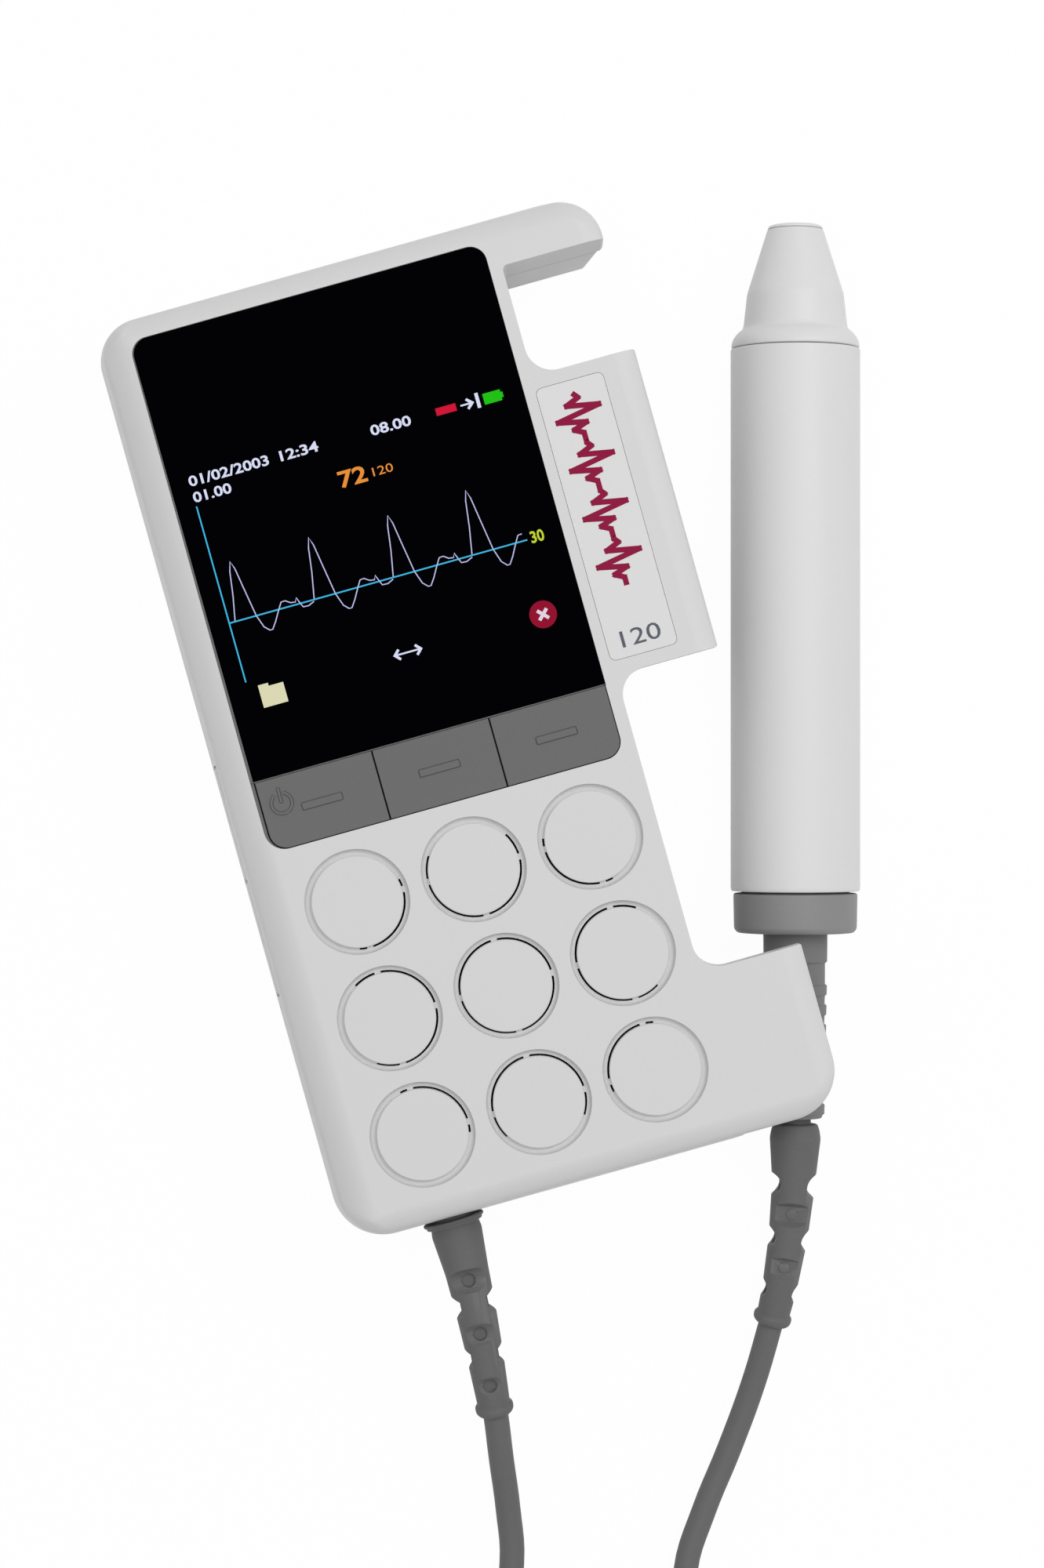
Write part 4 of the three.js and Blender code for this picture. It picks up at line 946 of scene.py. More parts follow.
def volume_slot():
    down_low, _ = span("volume_down_key")
    _, up_high = span("volume_up_key")
    middle = (span("volume_up_key")[0].z + up_high.z) / 2
    inner = LEFT + EDGES["left"][0] + WALL + PAST
    outer, end = LEFT - PAST, up_high.y + FIT
    slot = block(outer, down_low.y - FIT, middle - VOLUME_SLOT_HALF, inner, end, middle + VOLUME_SLOT_HALF)
    slit = block(outer, end - VOLUME_SLIT_LENGTH, middle, inner, end, middle + VOLUME_SLIT_HEIGHT)
    return joined(slot, slit)


def key_window(left, radius, low=KEY_LOW, right=lens_high.x):
    """The opening for the three keys, its left side and lower left corner as given."""
    high = KEY_TOP + PAST
    return [(left, low, radius), (right, low, KEY_CORNER), (right, high, 0), (left, high, 0)]


def front_cover():
    cover = rolled_slab()
    cut(cover, notch(TAB_HIGH, HOOK_LOW, INNER_FILLET, TIP_CORNER))
    cut(cover, notch(EAR_HIGH, TAB_LOW, INNER_FILLET, INNER_FILLET))
    cut(cover, block(BOX_RIGHT, LOW - PAST, 0, RIGHT + PAST, HOOK_LOW - FIT, PLATE_Z))
    cut(cover, cradle_cutter(), box_cavity(0, CEILING), hook_cavity(0, CEILING))
    ledge = block(lens_low.x - WALL, KEY_LOW - WALL, LEDGE_Z, lens_high.x - FIT * 2, lens_high.y + WALL,
                  CEILING + SUNK)
    boolean(ledge, box_cavity(PARTING, TOP), "INTERSECT")
    joined(cover, ledge, case_bores(SCREW_POST, PARTING, CEILING + SUNK))
    recess = lens_frame(GASKET_ROOM)
    recess[0] = (recess[0][0], KEY_TOP, 0)
    recess[1] = (recess[1][0], KEY_TOP, 0)
    cut(cover, prism("recess", recess, lens_low.z - FIT, lens_high.z - 0.05))
    lip = 0.08
    shown = lens_low.x - SEAL_SHOWN
    cut(cover, prism("opening", [
        (shown, KEY_TOP, 0),
        (lens_high.x + lip, KEY_TOP, 0),
        (lens_high.x + lip, lens_high.y + lip, LENS_CORNER + lip),
        (lens_low.x - SEAL_SHOWN_HIGH, lens_high.y + lip, LENS_CORNER + lip),
    ], lens_high.z - 0.06, TOP + PAST))
    cut(cover, block(lens_low.x + LENS_LEDGE, lens_low.y + LENS_LEDGE, 0,
                     lens_high.x - LENS_LEDGE, lens_high.y - LENS_LEDGE, TOP))
    cut(cover, prism("keys", key_window(lens_low.x, KEY_CORNER), 0, TOP + PAST))
    cut(cover, prism("trim", key_window(shown, KEY_CORNER + 0.4), TOP - 1.5, TOP + PAST))
    bevelled(cover, 0.16, 2, 50)
    cut(cover, volume_slot(), case_bores(SCREW_BORE, 0, PARTING + 6), *gland_cutters())
    label = rectangle(label_low.x - LABEL_GAP, label_low.y - LABEL_GAP,
                      label_high.x + LABEL_GAP, label_high.y + LABEL_GAP, LABEL_CORNER + LABEL_GAP)
    cut(cover, prism("label", label, label_low.z - FIT, TOP + PAST))
    rim = SLOT_REACH + 1.4
    cut(cover, shifted(rod(rim, CEILING - 5.3, CEILING), SPEAKER.x, SPEAKER.y))
    cut(cover, merged([groove_cutter(centre) for centre in disc_centres()]))
    cut(cover, merged([slot for centre in disc_centres() for slot in slot_cutters(centre)]))
    dressed(smooth(cover, 30), "shell", "unit", "front_shell")


# Unit: the rear cover
def rear_corners(drawn, z):
    """The outline of the box and the hook at a height; the hook's end slopes in towards the back."""
    hook_end = RIGHT - 0.45 - 1.9 * (1 - z / PARTING)
    return [
        (LEFT + drawn, LOW + drawn, LOW_CORNER - drawn),
        (BOX_RIGHT - drawn, LOW + drawn, INNER_FILLET),
        (BOX_RIGHT - drawn, HOOK_LOW, TIP_CORNER),
        (hook_end, HOOK_LOW, TIP_CORNER),
        (hook_end, HIGH - drawn, HOOK_CORNER - drawn),
        (LEFT + drawn, HIGH - drawn, BODY_CORNER - drawn),
    ]


def rear_form():
    """The back half's outside: its lower edge tapers in, with soft bends at both ends."""
    taper = [(3.0, 0), (2.35, 0.05), (1.75, 0.4), (0.9, 1.6), (0.35, 2.5), (0.08, 3.3), (0, 4.2)]
    return loft("rear_cover", [
        level(rounded(rear_corners(drawn, z), 12), z) for drawn, z in (*taper, (0, rear_top))])


def rear_cover():
    cover = rear_form()
    door_low, door_high = span("battery_door")
    cut(cover, box_cavity(WALL, rear_top + PAST), hook_cavity(WALL * 2, rear_top + PAST), cradle_cutter())
    posts = case_bores(SCREW_POST, WALL - SUNK, rear_top)
    feet = boolean(case_bores(SCREW_FOOT, 0.5, 4), rear_form(), "INTERSECT")
    board_low, board_high = span("main_board")
    standoffs = merged([
        shifted(rod(1.8, WALL - SUNK, board_low.z - FIT, 24), x, y)
        for x in (board_low.x + 5, board_high.x - 4.5) for y in (board_high.y - 3.5, KEY_LOW + 5.25)])
    joined(cover, posts, feet, standoffs)
    bevelled(cover, 0.2, 2, 50)
    way_high, way_top = door_high.y + FIT, door_high.z + FIT
    cut(cover, block(door_low.x + DOOR_LIP - FIT, LOW - PAST, -PAST,
                     door_high.x - DOOR_LIP + FIT, way_high, way_top))
    cut(cover, block(door_low.x - FIT, LOW - PAST, DOOR_LIP - FIT, door_high.x + FIT, way_high, way_top))
    cell_low = span("battery_1")[0]
    spring_low = span("spring_plate_1")[0].y
    contact_high = span("contact_plate_1")[1].y + FIT
    right_cell = span("battery_2")[1].x
    joined(cover, block(door_low.x + DOOR_EDGE, contact_high, WALL - SUNK,
                        door_high.x - DOOR_EDGE, contact_high + 1.4, rear_top - FIT))
    joined(cover, block(cell_low.x + 4, LOW + WALL - SUNK, way_top,
                        right_cell - 4, spring_low - FIT, rear_top - FIT))
    cut(cover, case_bores(SCREW_BORE, -PAST, rear_top + PAST), case_bores(HEAD_ROOM, -PAST, HEAD_DEPTH))
    cut(cover, volume_slot(), *gland_cutters())
    dressed(smooth(cover, 30), "shell", "unit", "rear_shell")


# Unit: the window and its seal
def lowered(corners, bottom):
    """The same frame with its lower side at a place of its own."""
    (left, _, radius), (right, _, _) = corners[:2]
    return [(left, bottom, radius), (right, bottom, radius), *corners[2:]]


def display():
    bottom = lens_low.y - LENS_EXTRA
    lens = pillow("display_window", lowered(lens_frame(0), bottom), lens_low.z, lens_high.z, 0.15, 10)
    dressed(smooth(lens), "lens_black", "unit", "display_lens")
    gasket_low, gasket_high = span("lens_gasket")
    outer = lowered(lens_frame(GASKET + GASKET_GAP), lens_low.y - SEAL_LOW)
    inner = lowered(lens_frame(SEAL_GAP), bottom - 0.1)
    seal = frame_piece("window_seal", outer, inner, gasket_low.z, gasket_high.z)
    dressed(smooth(seal), "gasket", "unit", "lens_gasket")
    shown = lens_low.x - SEAL_SHOWN + 0.02
    trim = prism("key_trim", key_window(shown, KEY_CORNER + 0.38)[:2] + [
        (lens_high.x, KEY_TOP, 0), (shown, KEY_TOP, 0)], TOP - 1.4, TOP - 0.1)
    inside = key_window(lens_low.x, KEY_CORNER, KEY_LOW - 0.01, lens_high.x + 0.01)
    cut(trim, prism("inside", inside, 0, TOP + PAST))
    dressed(smooth(trim), "gasket", "unit")


# Screen marks stand a hair above the window, placed from its upper left corner
SCREEN_RISE = 0.03
SCREEN_LIFT = 0.005
FONT_PER_HEIGHT = 1.38


def screen_place(across, down):
    return Vector((lens_low.x + across, lens_high.y - down, lens_high.z))


def plate(name, points):
    outline = [Vector((point[0], point[1])) for point in points]
    area = sum(a.x * b.y - b.x * a.y for a, b in zip(outline, outline[1:] + outline[:1]))
    if area < 0:
        outline.reverse()
    return loft(name, [level(outline, lens_high.z + rise) for rise in (SCREEN_LIFT, SCREEN_RISE)])


def ribbon(spots, width):
    """The outline of a flat line of that width through flat spots."""
    left_side, right_side = [], []
    for i, spot in enumerate(spots):
        ahead = spots[min(i + 1, len(spots) - 1)] - spots[max(i - 1, 0)]
        aside = Vector((-ahead.y, ahead.x)).normalized() * width / 2
        left_side.append(spot + aside)
        right_side.append(spot - aside)
    return left_side + right_side[::-1]


def stroke(points, width):
    """A flat line of that width through points across and down the screen."""
    return plate("stroke", ribbon([screen_place(*point).xy for point in points], width))


def figures(text, left, right, base, height, z, weight=0.03):
    """Plain figures fitted between two places, on a base line; weight is how bold they are."""
    curve = bpy.data.curves.new("figures", "FONT")
    curve.body = text
    curve.size = height * MM * FONT_PER_HEIGHT
    curve.offset = height * MM * weight
    curve.extrude = SCREEN_RISE * MM / 2
    curve.resolution_u = 3
    holder = bpy.data.objects.new("figures", curve)
    scene.collection.objects.link(holder)
    piece = mesh_object("figures", [], [])
    bpy.context.view_layer.update()
    graph = bpy.context.evaluated_depsgraph_get()
    piece.data = bpy.data.meshes.new_from_object(holder.evaluated_get(graph))
    bpy.data.objects.remove(holder)
    xs = [vertex.co.x / MM for vertex in piece.data.vertices]
    stretch = (right - left) / (max(xs) - min(xs))
    moved(piece, Matrix.Diagonal((stretch, 1, 1, 1)))
    return shifted(piece, left - min(xs) * stretch, base, z + SCREEN_RISE / 2)


def digits(text, left, right, down, height, weight=0.03):
    spot = screen_place(left, down)
    return figures(text, spot.x, spot.x + right - left, spot.y, height, lens_high.z + SCREEN_LIFT, weight)


def shape(across, down, points):
    return plate("shape", [screen_place(across + x, down - y).xy for x, y in points])


def bar(left, top, right, bottom):
    return shape(0, 0, [(left, -top), (right, -top), (right, -bottom), (left, -bottom)])


def ring_points(radius, steps=32):
    angles = [TURN * i / steps for i in range(steps)]
    return [(radius * math.cos(angle), radius * math.sin(angle)) for angle in angles]


def pulse_trace():
    """Four beats: a steep rise and fall, a dip, a small bump and a smaller dip after it."""
    base, end, width = 42.86, 47.4, 0.15
    peaks = [(5.36, 0.97), (17.18, 1.0), (29.0, 1.0), (40.77, 1.05)]
    beat = [(-1.6, 0.1), (-0.9, 3.8), (-0.4, 7.4), (0, 8.8), (0.4, 7.6), (0.9, 4.2), (1.55, 0), (2.2, -1.9),
            (2.9, -2.6), (3.3, -2.6), (4.0, -1.6), (4.8, -0.2), (5.5, 0.95), (6.1, 1.0), (6.8, 0.5),
            (7.5, 0.4), (7.75, 1.0), (8.1, 0.1), (8.4, -0.6), (9.2, -0.65), (10.1, -0.25)]
    strokes = []
    for peak, share in peaks:
        kept = [(peak + x, base - height * share) for x, height in beat if peak + x < end]
        strokes.append(stroke(kept, width))
    return strokes


def screen_marks():
    """Plain numbers and marks in the places and colours that the screen shows them."""
    red_disc = (46.7, 53.8)
    half = math.sqrt(0.5)
    cross = [((x - y) * half, (x + y) * half) for x, y in cross_points(1.0, 0.25)]
    double = [(-2.2, 0), (-1.35, 0.87), (-1.1, 0.6), (-1.55, 0.12), (1.55, 0.12), (1.1, 0.6), (1.35, 0.87),
              (2.2, 0), (1.35, -0.87), (1.1, -0.6), (1.55, -0.12), (-1.55, -0.12), (-1.1, -0.6),
              (-1.35, -0.87)]
    chevron = [(0.0, 0.12), (1.3, 0.12), (0.85, 0.6), (1.1, 0.85), (2.05, 0),
               (1.1, -0.85), (0.85, -0.6), (1.3, -0.12), (0.0, -0.12)]
    marks = {
        "white": (rgb(225, 230, 255), [
            digits("01/02/2003", 2.73, 14.64, 22.4, 1.5),
            digits("12:34", 16.36, 22.05, 22.4, 1.5),
            digits("08.00", 29.9, 35.9, 22.4, 1.5),
            digits("01.00", 2.73, 8.4, 24.8, 1.5),
            shape(43.35, 21.7, chevron),
            bar(45.7, 20.5, 46.2, 22.7),
            shape(26.5, 53.8, double),
        ]),
        "trace": (rgb(200, 200, 245), pulse_trace()),
        "axis": (rgb(70, 190, 235), [
            stroke([(2.87, 25.4), (2.87, 51.7)], 0.2),
            stroke([(2.87, 42.86), (47.4, 42.86)], 0.2),
        ]),
        "amber": (rgb(240, 150, 60), [
            digits("72", 23.6, 27.7, 28.45, 2.4),
            digits("120", 28.6, 31.6, 28.1, 1.3, 0),
        ]),
        "green": (rgb(36, 200, 24), [bar(46.8, 20.9, 49.4, 22.5), bar(49.4, 21.3, 49.7, 22.1)]),
        "red": (rgb(214, 26, 58), [bar(39.7, 21.1, 42.7, 22.2)]),
        "disc": (rgb(152, 22, 52), [shape(*red_disc, ring_points(2.0))]),
        "cross": (rgb(235, 220, 235), [shape(*red_disc, cross)]),
        "yellow": (rgb(228, 226, 188), [bar(4.4, 52.6, 5.9, 53.1), bar(4.4, 53.05, 8.05, 55.95)]),
        "lime": (rgb(200, 220, 60), [digits("30", 47.95, 49.9, 43.5, 1.7)]),
    }
    for name, (colour, pieces) in marks.items():
        mark = merged(pieces)
        mark.name = f"screen_{name}"
        if name == "cross":
            shifted(mark, 0, 0, SCREEN_RISE)
        dressed(mark, "lens_black", "unit", finish=glow(f"screen_{name}", colour))


# Keys
def soft_key(index):
    side = ("left", "middle", "right")[index]
    first, last = index == 0, index == 2
    low = span(f"soft_key_{side}")[0]
    left = KEY_EDGES[index] + (FIRST_KEY_GAP if first else KEY_SPLIT)
    right = KEY_EDGES[index + 1] - (KEY_GAP if last else KEY_SPLIT)
    corners = [
        (left, KEY_LOW + KEY_GAP, KEY_CORNER - KEY_GAP if first else 0),
        (right, KEY_LOW + KEY_GAP, KEY_CORNER - KEY_GAP if last else 0),
        (right, KEY_TOP, 0),
        (left, KEY_TOP, 0),
    ]
    key = pillow(f"key_cap_{side}", corners, low.z, TOP - 0.02, 0.15, 10)
    flange_top = LEDGE_Z - FIT
    joined(key, block(left + KEY_CORNER, low.y, flange_top - 1,
                      right - KEY_CORNER, KEY_LOW + 1.8, flange_top))
    switch_low, switch_high = span(f"key_switch_{side}")
    cut(key, block(switch_low.x - SWITCH_ROOM, switch_low.y - SWITCH_ROOM, low.z - PAST,
                   switch_high.x + SWITCH_ROOM, switch_high.y + SWITCH_ROOM,
                   switch_high.z + KEY_TRAVEL + FIT))
    middle_x = (left + right) / 2
    middle_y = (KEY_LOW + KEY_TOP) / 2 + 0.1

    def bar_outline(grow, corner):
        return rectangle(middle_x - BAR_HALF_LENGTH - grow, middle_y - BAR_HALF_WIDTH - grow,
                         middle_x + BAR_HALF_LENGTH + grow, middle_y + BAR_HALF_WIDTH + grow, corner)

    cut(key, prism("channel", bar_outline(BAR_CHANNEL, 0.25), TOP - 0.17, TOP + PAST))
    joined(key, pillow("bar", bar_outline(0, 0.15), TOP - 0.3, TOP + 0.13, 0.1, 4))
    if first:
        symbol = (KEY_EDGES[0] + 3.17, middle_y + 1.3)
        cut(key, *power_symbol(*symbol, 0.1, TOP - 0.14, TOP + PAST))
        joined(key, *power_symbol(*symbol, 0, TOP - 0.3, TOP + 0.12))
    dressed(smooth(key, 28), "key_gray", f"soft_key_{side}", f"soft_key_{side}")


def power_symbol(x, y, grow, low, high):
    """A ring, open at the top, with an upright stroke in the opening; grow widens both."""
    half = POWER_STROKE_HALF + grow
    start, sweep, steps = math.radians(121), math.radians(305), 40
    spots = []
    for i in range(steps + 1):
        angle = start + sweep * i / steps
        spots.append(Vector((x + POWER_RADIUS * math.cos(angle), y + POWER_RADIUS * math.sin(angle))))
    outline = ribbon(spots, half * 2)[::-1]
    ring = loft("ring", [level(outline, low), level(outline, high)])
    upright = rectangle(x - half, y + 0.09 - grow, x + half, y + POWER_RISE + grow, 0.1)
    return ring, prism("upright", upright, low, high)


def volume_key(way):
    """A narrow key in the left wall, its sign raised on its face; it leans with the wall."""
    name = f"volume_{way}_key"
    low, high = span(name)
    middle, middle_z = (low.y + high.y) / 2, (low.z + high.z) / 2
    depth = WALL + FIT + 0.1
    face = depth + 0.1
    cap = pillow(name, rectangle(low.y, -VOLUME_CAP_HALF, high.y, VOLUME_CAP_HALF, 0.9), 0, face, 0.5, 6)
    long, thin = VOLUME_SIGN, VOLUME_STROKE
    signs = [rectangle(middle - long, -thin, middle + long, thin, 0.15)]
    if way == "up":
        signs.append(rectangle(middle - thin, -long, middle + thin, long, 0.15))
    joined(cap, *[pillow("sign", sign, face - 0.2, face + 0.05, 0.04, 3) for sign in signs])
    axes = Matrix(((0, 0, -1, 0), (1, 0, 0, 0), (0, -1, 0, 0), (0, 0, 0, 1)))
    shifted(moved(cap, axes), LEFT + depth, 0, middle_z)
    back = LEFT + WALL + FIT
    joined(cap, block(back, low.y, middle_z - 2.8, back + 0.8, high.y, middle_z + 2.8))
    lean = Matrix.Identity(4)
    lean[0][2] = EDGES["left"][0] / (TOP - PARTING)
    lean[0][3] = -lean[0][2] * PARTING * MM
    moved(cap, lean)
    foot = back + lean_at("left", middle_z) + 0.2
    joined(cap, block(foot, middle - 1.5, middle_z - 1, high.x, middle + 1.5, middle_z + 1))
    dressed(smooth(cap), "shell", name, name)


# Label, screws, battery door and the cloth behind the grille
def tab_label():
    corners = rectangle(label_low.x, label_low.y, label_high.x, label_high.y, LABEL_CORNER)
    film = pillow("label_film", corners, label_low.z, label_high.z, 0.04, 10)
    dressed(smooth(film), "label", "unit", "tab_label")
    across = (label_low.x + label_high.x) / 2 + 0.15
    start, base = label_low.y + MOTIF_START, label_high.z
    beat = [(0, 0), (0.9, 0), (1.6, 1.3), (2.3, -0.8), (3.2, 3.3), (4.3, -3.2), (5.2, 1.5), (6.0, -0.5),
            (6.6, 0)]
    spots = [Vector((across - height, start + MOTIF_PITCH * i + along))
             for i in range(4) for along, height in beat]
    lines = []
    for i, (a, b) in enumerate(zip(spots, spots[1:])):
        reach = (b - a).normalized() * 0.3
        outline = ribbon([a - reach, b + reach], MOTIF_WIDTH)[::-1]
        rise = base + 0.02 + 0.002 * (i % 2)
        lines.append(loft("label_motif", [level(outline, base - 0.02), level(outline, rise)]))
    dressed(merged(lines), "label", "unit", finish=crimson)
    number = figures("120", across - 2.95, across + 2.9, label_low.y + 1.45, 2.5, base, 0)
    number.name = "label_number"
    dressed(number, "label", "unit", finish=slate)


def case_screw(index):
    """A pan head with a cross recess, seen from the back."""
    name = f"case_screw_{index + 1}"
    low, high = span(name)
    middle = (low + high) / 2
    head_top = low.z + SCREW_HEAD_HEIGHT
    outline = softened([
        (0, low.z), (SCREW_HEAD, low.z), (SCREW_HEAD, head_top), (SCREW_SHANK, head_top),
        (SCREW_SHANK, high.z - 1), (0, high.z),
    ], 0.3)
    screw = lathe(name, outline, 40)
    cross = [Vector(point) for point in cross_points(1.1, 0.2)]
    cut(screw, loft("cross", [level(cross, low.z - 1), level(cross, low.z + 0.8)]))
    shifted(screw, middle.x, middle.y)
    dressed(smooth(screw), "steel", "unit", name)


def battery_door():
    low, high = span("battery_door")
    panel_left, panel_right = low.x + DOOR_LIP, high.x - DOOR_LIP
    corners = rectangle(panel_left, LOW, panel_right, high.y, 0.4)
    panel = pillow("door_panel", corners, -high.z, -0.2, 0.25, 4)
    door = moved(panel, Matrix.Diagonal((1, 1, -1, 1)))
    door.data.flip_normals()
    joined(door, block(low.x, LOW, DOOR_LIP, high.x, high.y, high.z))
    boolean(door, rear_form(), "INTERSECT")
    middle = (panel_left + panel_right) / 2
    for i in range(GRIPS):
        top = high.y - 6 - i * GRIP_PITCH
        groove = rectangle(middle - GRIP_HALF_LENGTH, top - GRIP_WIDTH, middle + GRIP_HALF_LENGTH, top, 0.5)
        cut(door, prism("grip", groove, -1, 0.75, 6))
    point, foot, half = high.y - 26, high.y - 23, 2.2
    arrow = [(middle, point, 0), (middle + half, foot, 0), (middle - half, foot, 0)]
    cut(door, prism("arrow", arrow, -1, 0.5))
    dressed(smooth(door), "shell", "battery_door", "battery_door")


def grille_cloth():
    cloth = shifted(rod(SLOT_REACH + 0.8, CEILING - 0.24, CEILING - 0.1, 64), SPEAKER.x, SPEAKER.y)
    cloth.name = "grille_cloth"
    dressed(smooth(cloth), "dark_plastic", "unit", finish=cloth_black)


# Probe: drawn along +Z from the place where the barrel meets the end ring
probe_place = Matrix.Translation(BARREL_FOOT * MM) @ Z.rotation_difference(HEADING).to_matrix().to_4x4()
BORE = BARREL_RADIUS - 1.4
HEAD = BARREL_LENGTH + FIT
NECK = HEAD + 3.3
CONE = NECK + 4.8
FACE = CONE + 9.1
SEAM = FACE + 0.37
TIP = 4.1
RING_LOW = -RING_LENGTH
COLLAR_LOW = RING_LOW - COLLAR_LENGTH
SLEEVE_LOW = COLLAR_LOW - SLEEVE_LENGTH


def on_probe(piece, slot, body, *replaced, angle=32, finish=None):
    return dressed(smooth(moved(piece, probe_place), angle), slot, body, *replaced, finish=finish)


def probe_barrel():
    outline = softened([
        (BORE, 0), (BARREL_RADIUS - 0.1, 0), (BARREL_RADIUS, 0.5), (BARREL_RADIUS, BARREL_LENGTH - 0.1),
        (BARREL_RADIUS - 0.08, BARREL_LENGTH), (BORE, BARREL_LENGTH)], 0.2, 3, True)
    on_probe(lathe("probe_tube", outline, 128, True), "probe_white", "probe", "probe_barrel")


def probe_head():
    foot = HEAD - 0.17
    outline = softened([
        (5.4, HEAD - 5), (BORE - FIT, HEAD - 5), (BORE - FIT, foot), (BARREL_RADIUS - 0.12, foot),
        (BARREL_RADIUS - 0.12, foot + 0.7), (9.2, HEAD + 1.3), (8.6, HEAD + 2.1), (7.85, HEAD + 2.7),
        (7.66, HEAD + 3.4), (7.16, CONE - 0.15), (TIP + 0.03, SEAM - 0.02), (TIP - 1, SEAM - 0.02),
        (TIP - 1, FACE - FIT), (5.0, CONE), (5.4, HEAD - 5)], 0.3, 4, True)
    on_probe(lathe("probe_nose", outline[:-1], 128, True), "probe_white", "probe", "probe_head", angle=50)


def probe_face():
    outline = softened([
        (0, FACE), (TIP - 1.3, FACE), (TIP - 1.3, SEAM), (TIP + 0.02, SEAM), (TIP - 0.12, FACE + 0.75),
        (TIP - 0.4, FACE + 0.9), (0, FACE + 0.9)], 0.12)
    on_probe(lathe("probe_window", outline, 96), "acoustic", "probe", "probe_face")


def probe_end_ring():
    outline = softened([
        (5.075, RING_LOW), (8.6, RING_LOW), (9.1, RING_LOW + 0.6), (9.2, -FIT), (BORE - FIT, -FIT),
        (BORE - FIT, 4), (6.5, 4), (6.5, RING_LOW + 1.6), (5.075, RING_LOW + 1.6)], 0.4, 4, True)
    on_probe(lathe("probe_ring", outline, 128, True), "end_ring", "probe", "probe_end_ring")


def plug_grip():
    """The plug's sleeve: a keyed collar, a groove and flat ribs down to the boot."""
    outline = [(0, SLEEVE_LOW + 4), (2.6, SLEEVE_LOW + 4), (2.6, SLEEVE_LOW), (3.9, SLEEVE_LOW)]
    for i in range(RIBS):
        radius = SLEEVE_RADIUS + SLEEVE_GROWTH * i / RIBS
        start = SLEEVE_LOW + 0.45 + i * RIB_PITCH
        outline += [(radius - RIB_DEPTH, start), (radius - 0.05, start + 0.15), (radius, start + 1.55),
                    (radius - RIB_DEPTH, start + 1.7)]
    outline += [(4.4, COLLAR_LOW - 0.7), (4.4, COLLAR_LOW), (4.72, COLLAR_LOW + 0.2),
                (4.775, RING_LOW + 1.3), (0, RING_LOW + 1.3)]
    sleeve = lathe("plug_sleeve", softened(outline, 0.12, 2), 96)
    key = block(-5.5, -0.55, COLLAR_LOW - 0.1, -4.1, 0.55, RING_LOW + 0.1)
    cut(sleeve, moved(key, Matrix.Rotation(math.radians(-75), 4, "Z")))
    on_probe(sleeve, "cable_gray", "unit", "plug_grip", finish=sleeve_gray)


def cable_boots():
    unit_root = [(0, -WALL - 1.1), (3.6, -WALL - 1.1), (3.6, -WALL - FIT), (3.0, -WALL - FIT), (3.0, FIT),
                 (4.55, FIT), (4.55, FIT + 0.45), (4.25, FIT + 0.5), (4.2, FIT + 0.95)]
    unit_boot = laid_on(boot("unit_boot", unit_root, True), unit_bend)
    dressed(unit_boot, "cable_gray", "unit", "unit_cable_boot")
    probe_root = [(0, -3), (2.3, -3), (2.3, 0.3), (BOOT_RADIUS - 0.5, 0.3)]
    probe_boot = laid_on(boot("probe_boot", probe_root, False), probe_bend)
    dressed(probe_boot, "cable_gray", "unit", "probe_cable_boot")


def cable_tie():
    """A flat strap round the coil's section, its tail laid over the top."""
    reach = COIL_PITCH * COIL_TURNS / 4 + CABLE_RADIUS + TIE_ROOM
    floor = COIL_REST + TIE_THICKNESS
    top = floor + TIE_ROOM * 2 + CABLE_RADIUS * 2 + COIL_PITCH
    inner = [(COIL_RADIUS - reach, floor, 1.4), (COIL_RADIUS + reach, floor, 1.4),
             (COIL_RADIUS + reach, top, 1.8), (COIL_RADIUS - reach, top, 1.8)]
    outer = inset(inner, -TIE_THICKNESS * 0.95)
    strap = frame_piece("lead_tie", outer, inner, -TIE_HALF_WIDTH, TIE_HALF_WIDTH, 8)
    tail = [(COIL_RADIUS - 6, top + TAIL_GAP, 0), (COIL_RADIUS + 5, top + TAIL_GAP, 0),
            (COIL_RADIUS + 5, top + TAIL_GAP * 2, 0.3), (COIL_RADIUS - 6, top + TAIL_GAP * 2, 0.3)]
    joined(strap, prism("tail", tail, -TIE_HALF_WIDTH * 0.9, TIE_HALF_WIDTH * 0.9, 4))
    bevelled(strap, 0.15, 2, 50)
    moved(strap, Matrix.Rotation(math.pi / 2, 4, "X"))
    moved(strap, Matrix.Rotation(TIE_ANGLE, 4, "Z"))
    shifted(strap, COIL_CENTRE.x, COIL_CENTRE.y)
    dressed(smooth(strap), "dark_plastic", "unit", "cable_tie", finish=cloth_black)
    return strap


# Solids whose shape stays, with their finish
CARRIED = {
    "lens_black": ["display_panel"],
    "board": ["main_board", "probe_board"],
    "cell": ["battery_1", "battery_2"],
    "ceramic": ["send_crystal", "listen_crystal"],
    "gasket": ["probe_seal"],
    "steel": ["display_tray", "speaker_magnet", "contact_spring_1", "contact_spring_2", "spring_plate_1",
              "spring_plate_2", "contact_plate_1", "contact_plate_2"],
    "dark_plastic": ["key_switch_left", "key_switch_middle", "key_switch_right", "volume_up_switch",
                     "volume_down_switch", "speaker_basket", "speaker_cone", "damping_block", "probe_socket",
                     "plug_insert"],
}


def carried_solids():
    for slot, names in CARRIED.items():
        for name in names:
            solid = nodes[name]
            solid.data.materials.clear()
            solid.data.materials.append(finishes[slot])
            smooth(solid, 30)


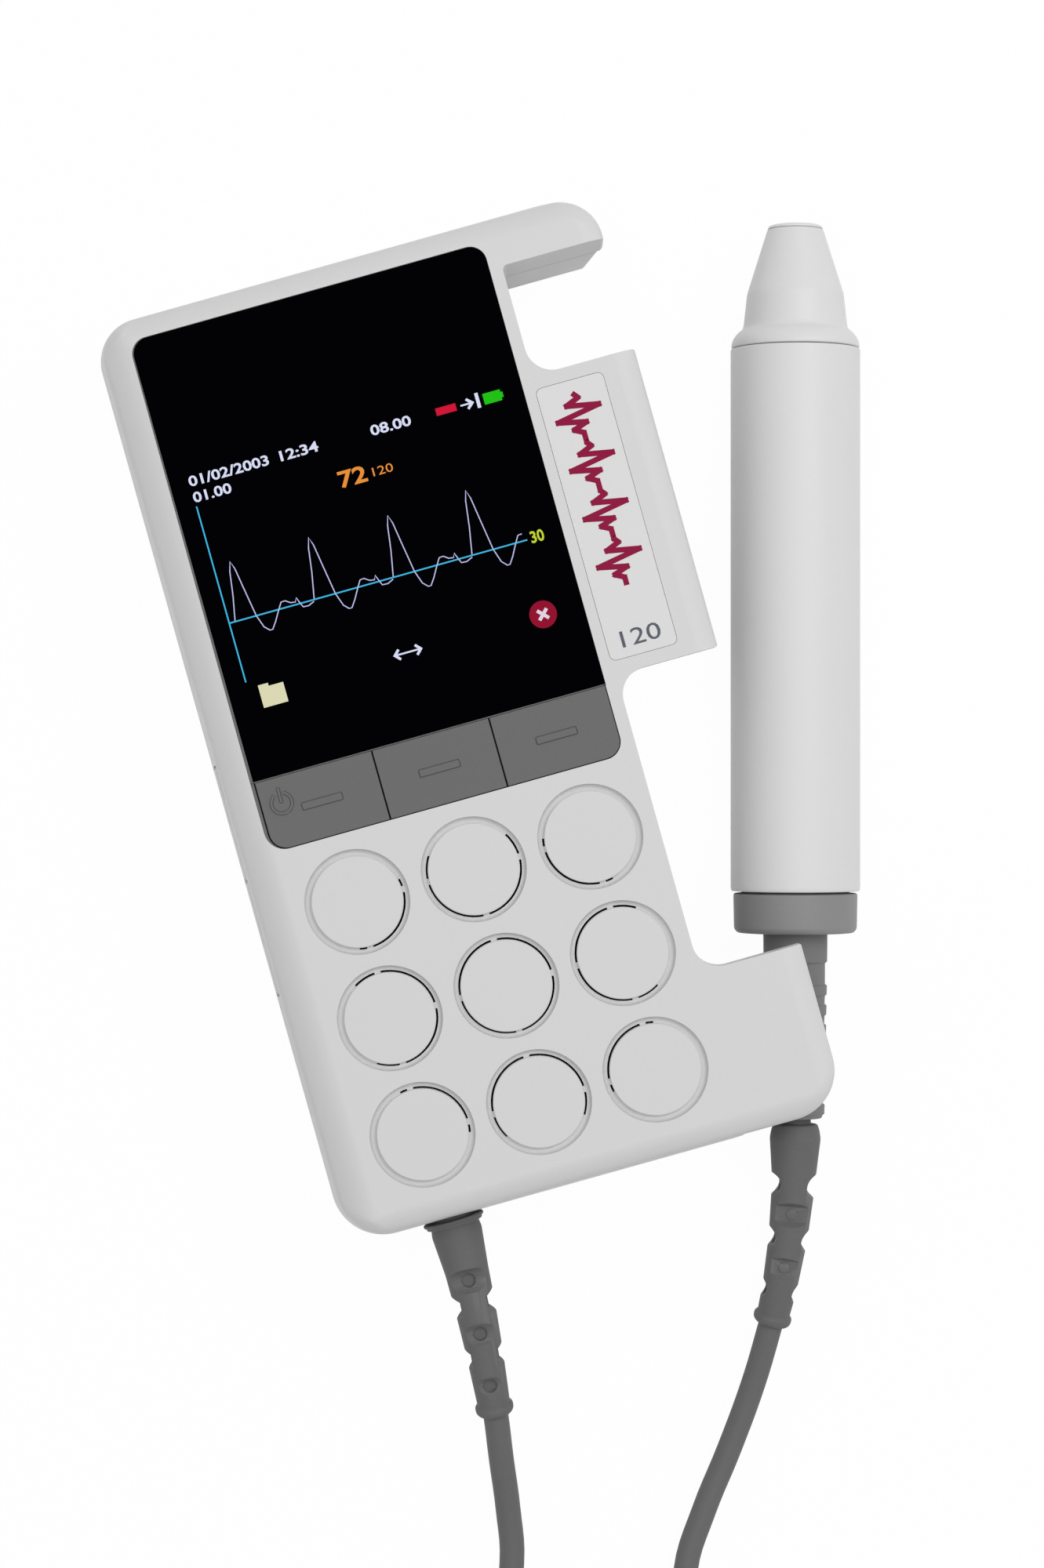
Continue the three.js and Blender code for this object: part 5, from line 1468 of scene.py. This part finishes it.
# Stage: a pale floor that the camera sees as nearly white, and soft light from all round
def seen(tree):
    """Whether a ray comes straight from the camera, or from it by gloss or through glass."""
    path = added(tree, "ShaderNodeLightPath")
    total = path.outputs["Is Camera Ray"]
    for name in ("Is Glossy Ray", "Is Transmission Ray"):
        total = added(tree, "ShaderNodeMath", None, {0: total, 1: path.outputs[name]},
                      operation="MAXIMUM").outputs[0]
    return total


def stage():
    half = 3 / MM
    corners = [(-half, -half), (half, -half), (half, half), (-half, half)]
    floor = mesh_object("floor", [(x, y, -0.02) for x, y in corners], [(0, 1, 2, 3)])
    paint = bpy.data.materials.new("floor")
    paint.use_nodes = True
    tree = paint.node_tree
    shader = filled(tree, tree.nodes["Principled BSDF"], {
        "Base Color": rgb(250), "Roughness": 0.9, "Specular IOR Level": 0})
    light = added(tree, "ShaderNodeEmission", {"Color": (1, 1, 1, 1)})
    share = added(tree, "ShaderNodeMath", {1: FLOOR_GLOW}, {0: seen(tree)}, operation="MULTIPLY")
    blend = added(tree, "ShaderNodeMixShader", None, {
        "Fac": share.outputs[0], 1: shader.outputs[0], 2: light.outputs[0]})
    filled(tree, tree.nodes["Material Output"], None, {"Surface": blend.outputs[0]})
    floor.data.materials.append(paint)


def lamp(name, place, aim, size, power):
    data = bpy.data.lights.new(name, "AREA")
    data.shape = "DISK"
    data.size = size
    data.energy = power
    light = bpy.data.objects.new(name, data)
    scene.collection.objects.link(light)
    light.location = place
    light.rotation_euler = (Vector(aim) - Vector(place)).to_track_quat("-Z", "Y").to_euler()


def lights():
    world = bpy.data.worlds.new("studio")
    scene.world = world
    world.use_nodes = True
    tree = world.node_tree
    sky = filled(tree, tree.nodes["Background"], {"Color": (1, 1, 1, 1), "Strength": SKY})
    white = added(tree, "ShaderNodeBackground", {"Color": (1, 1, 1, 1)})
    blend = added(tree, "ShaderNodeMixShader", None, {
        "Fac": seen(tree), 1: sky.outputs[0], 2: white.outputs[0]})
    filled(tree, tree.nodes["World Output"], None, {"Surface": blend.outputs[0]})
    middle = (0, -0.03, 0)
    lamp("key", (0.55, 0.22, 1.0), middle, 0.7, 4.5)
    lamp("top", (-0.1, 0.1, 1.2), middle, 0.9, 2.6)


front_cover()
rear_cover()
display()
screen_marks()
for key_index in range(3):
    soft_key(key_index)
volume_key("up")
volume_key("down")
tab_label()
for screw_index in range(len(SCREWS)):
    case_screw(screw_index)
battery_door()
grille_cloth()
probe_barrel()
probe_head()
probe_face()
probe_end_ring()
plug_grip()
cable_boots()
strap = cable_tie()
carried_solids()
stage()
lights()
scene.view_settings.view_transform = "Standard"
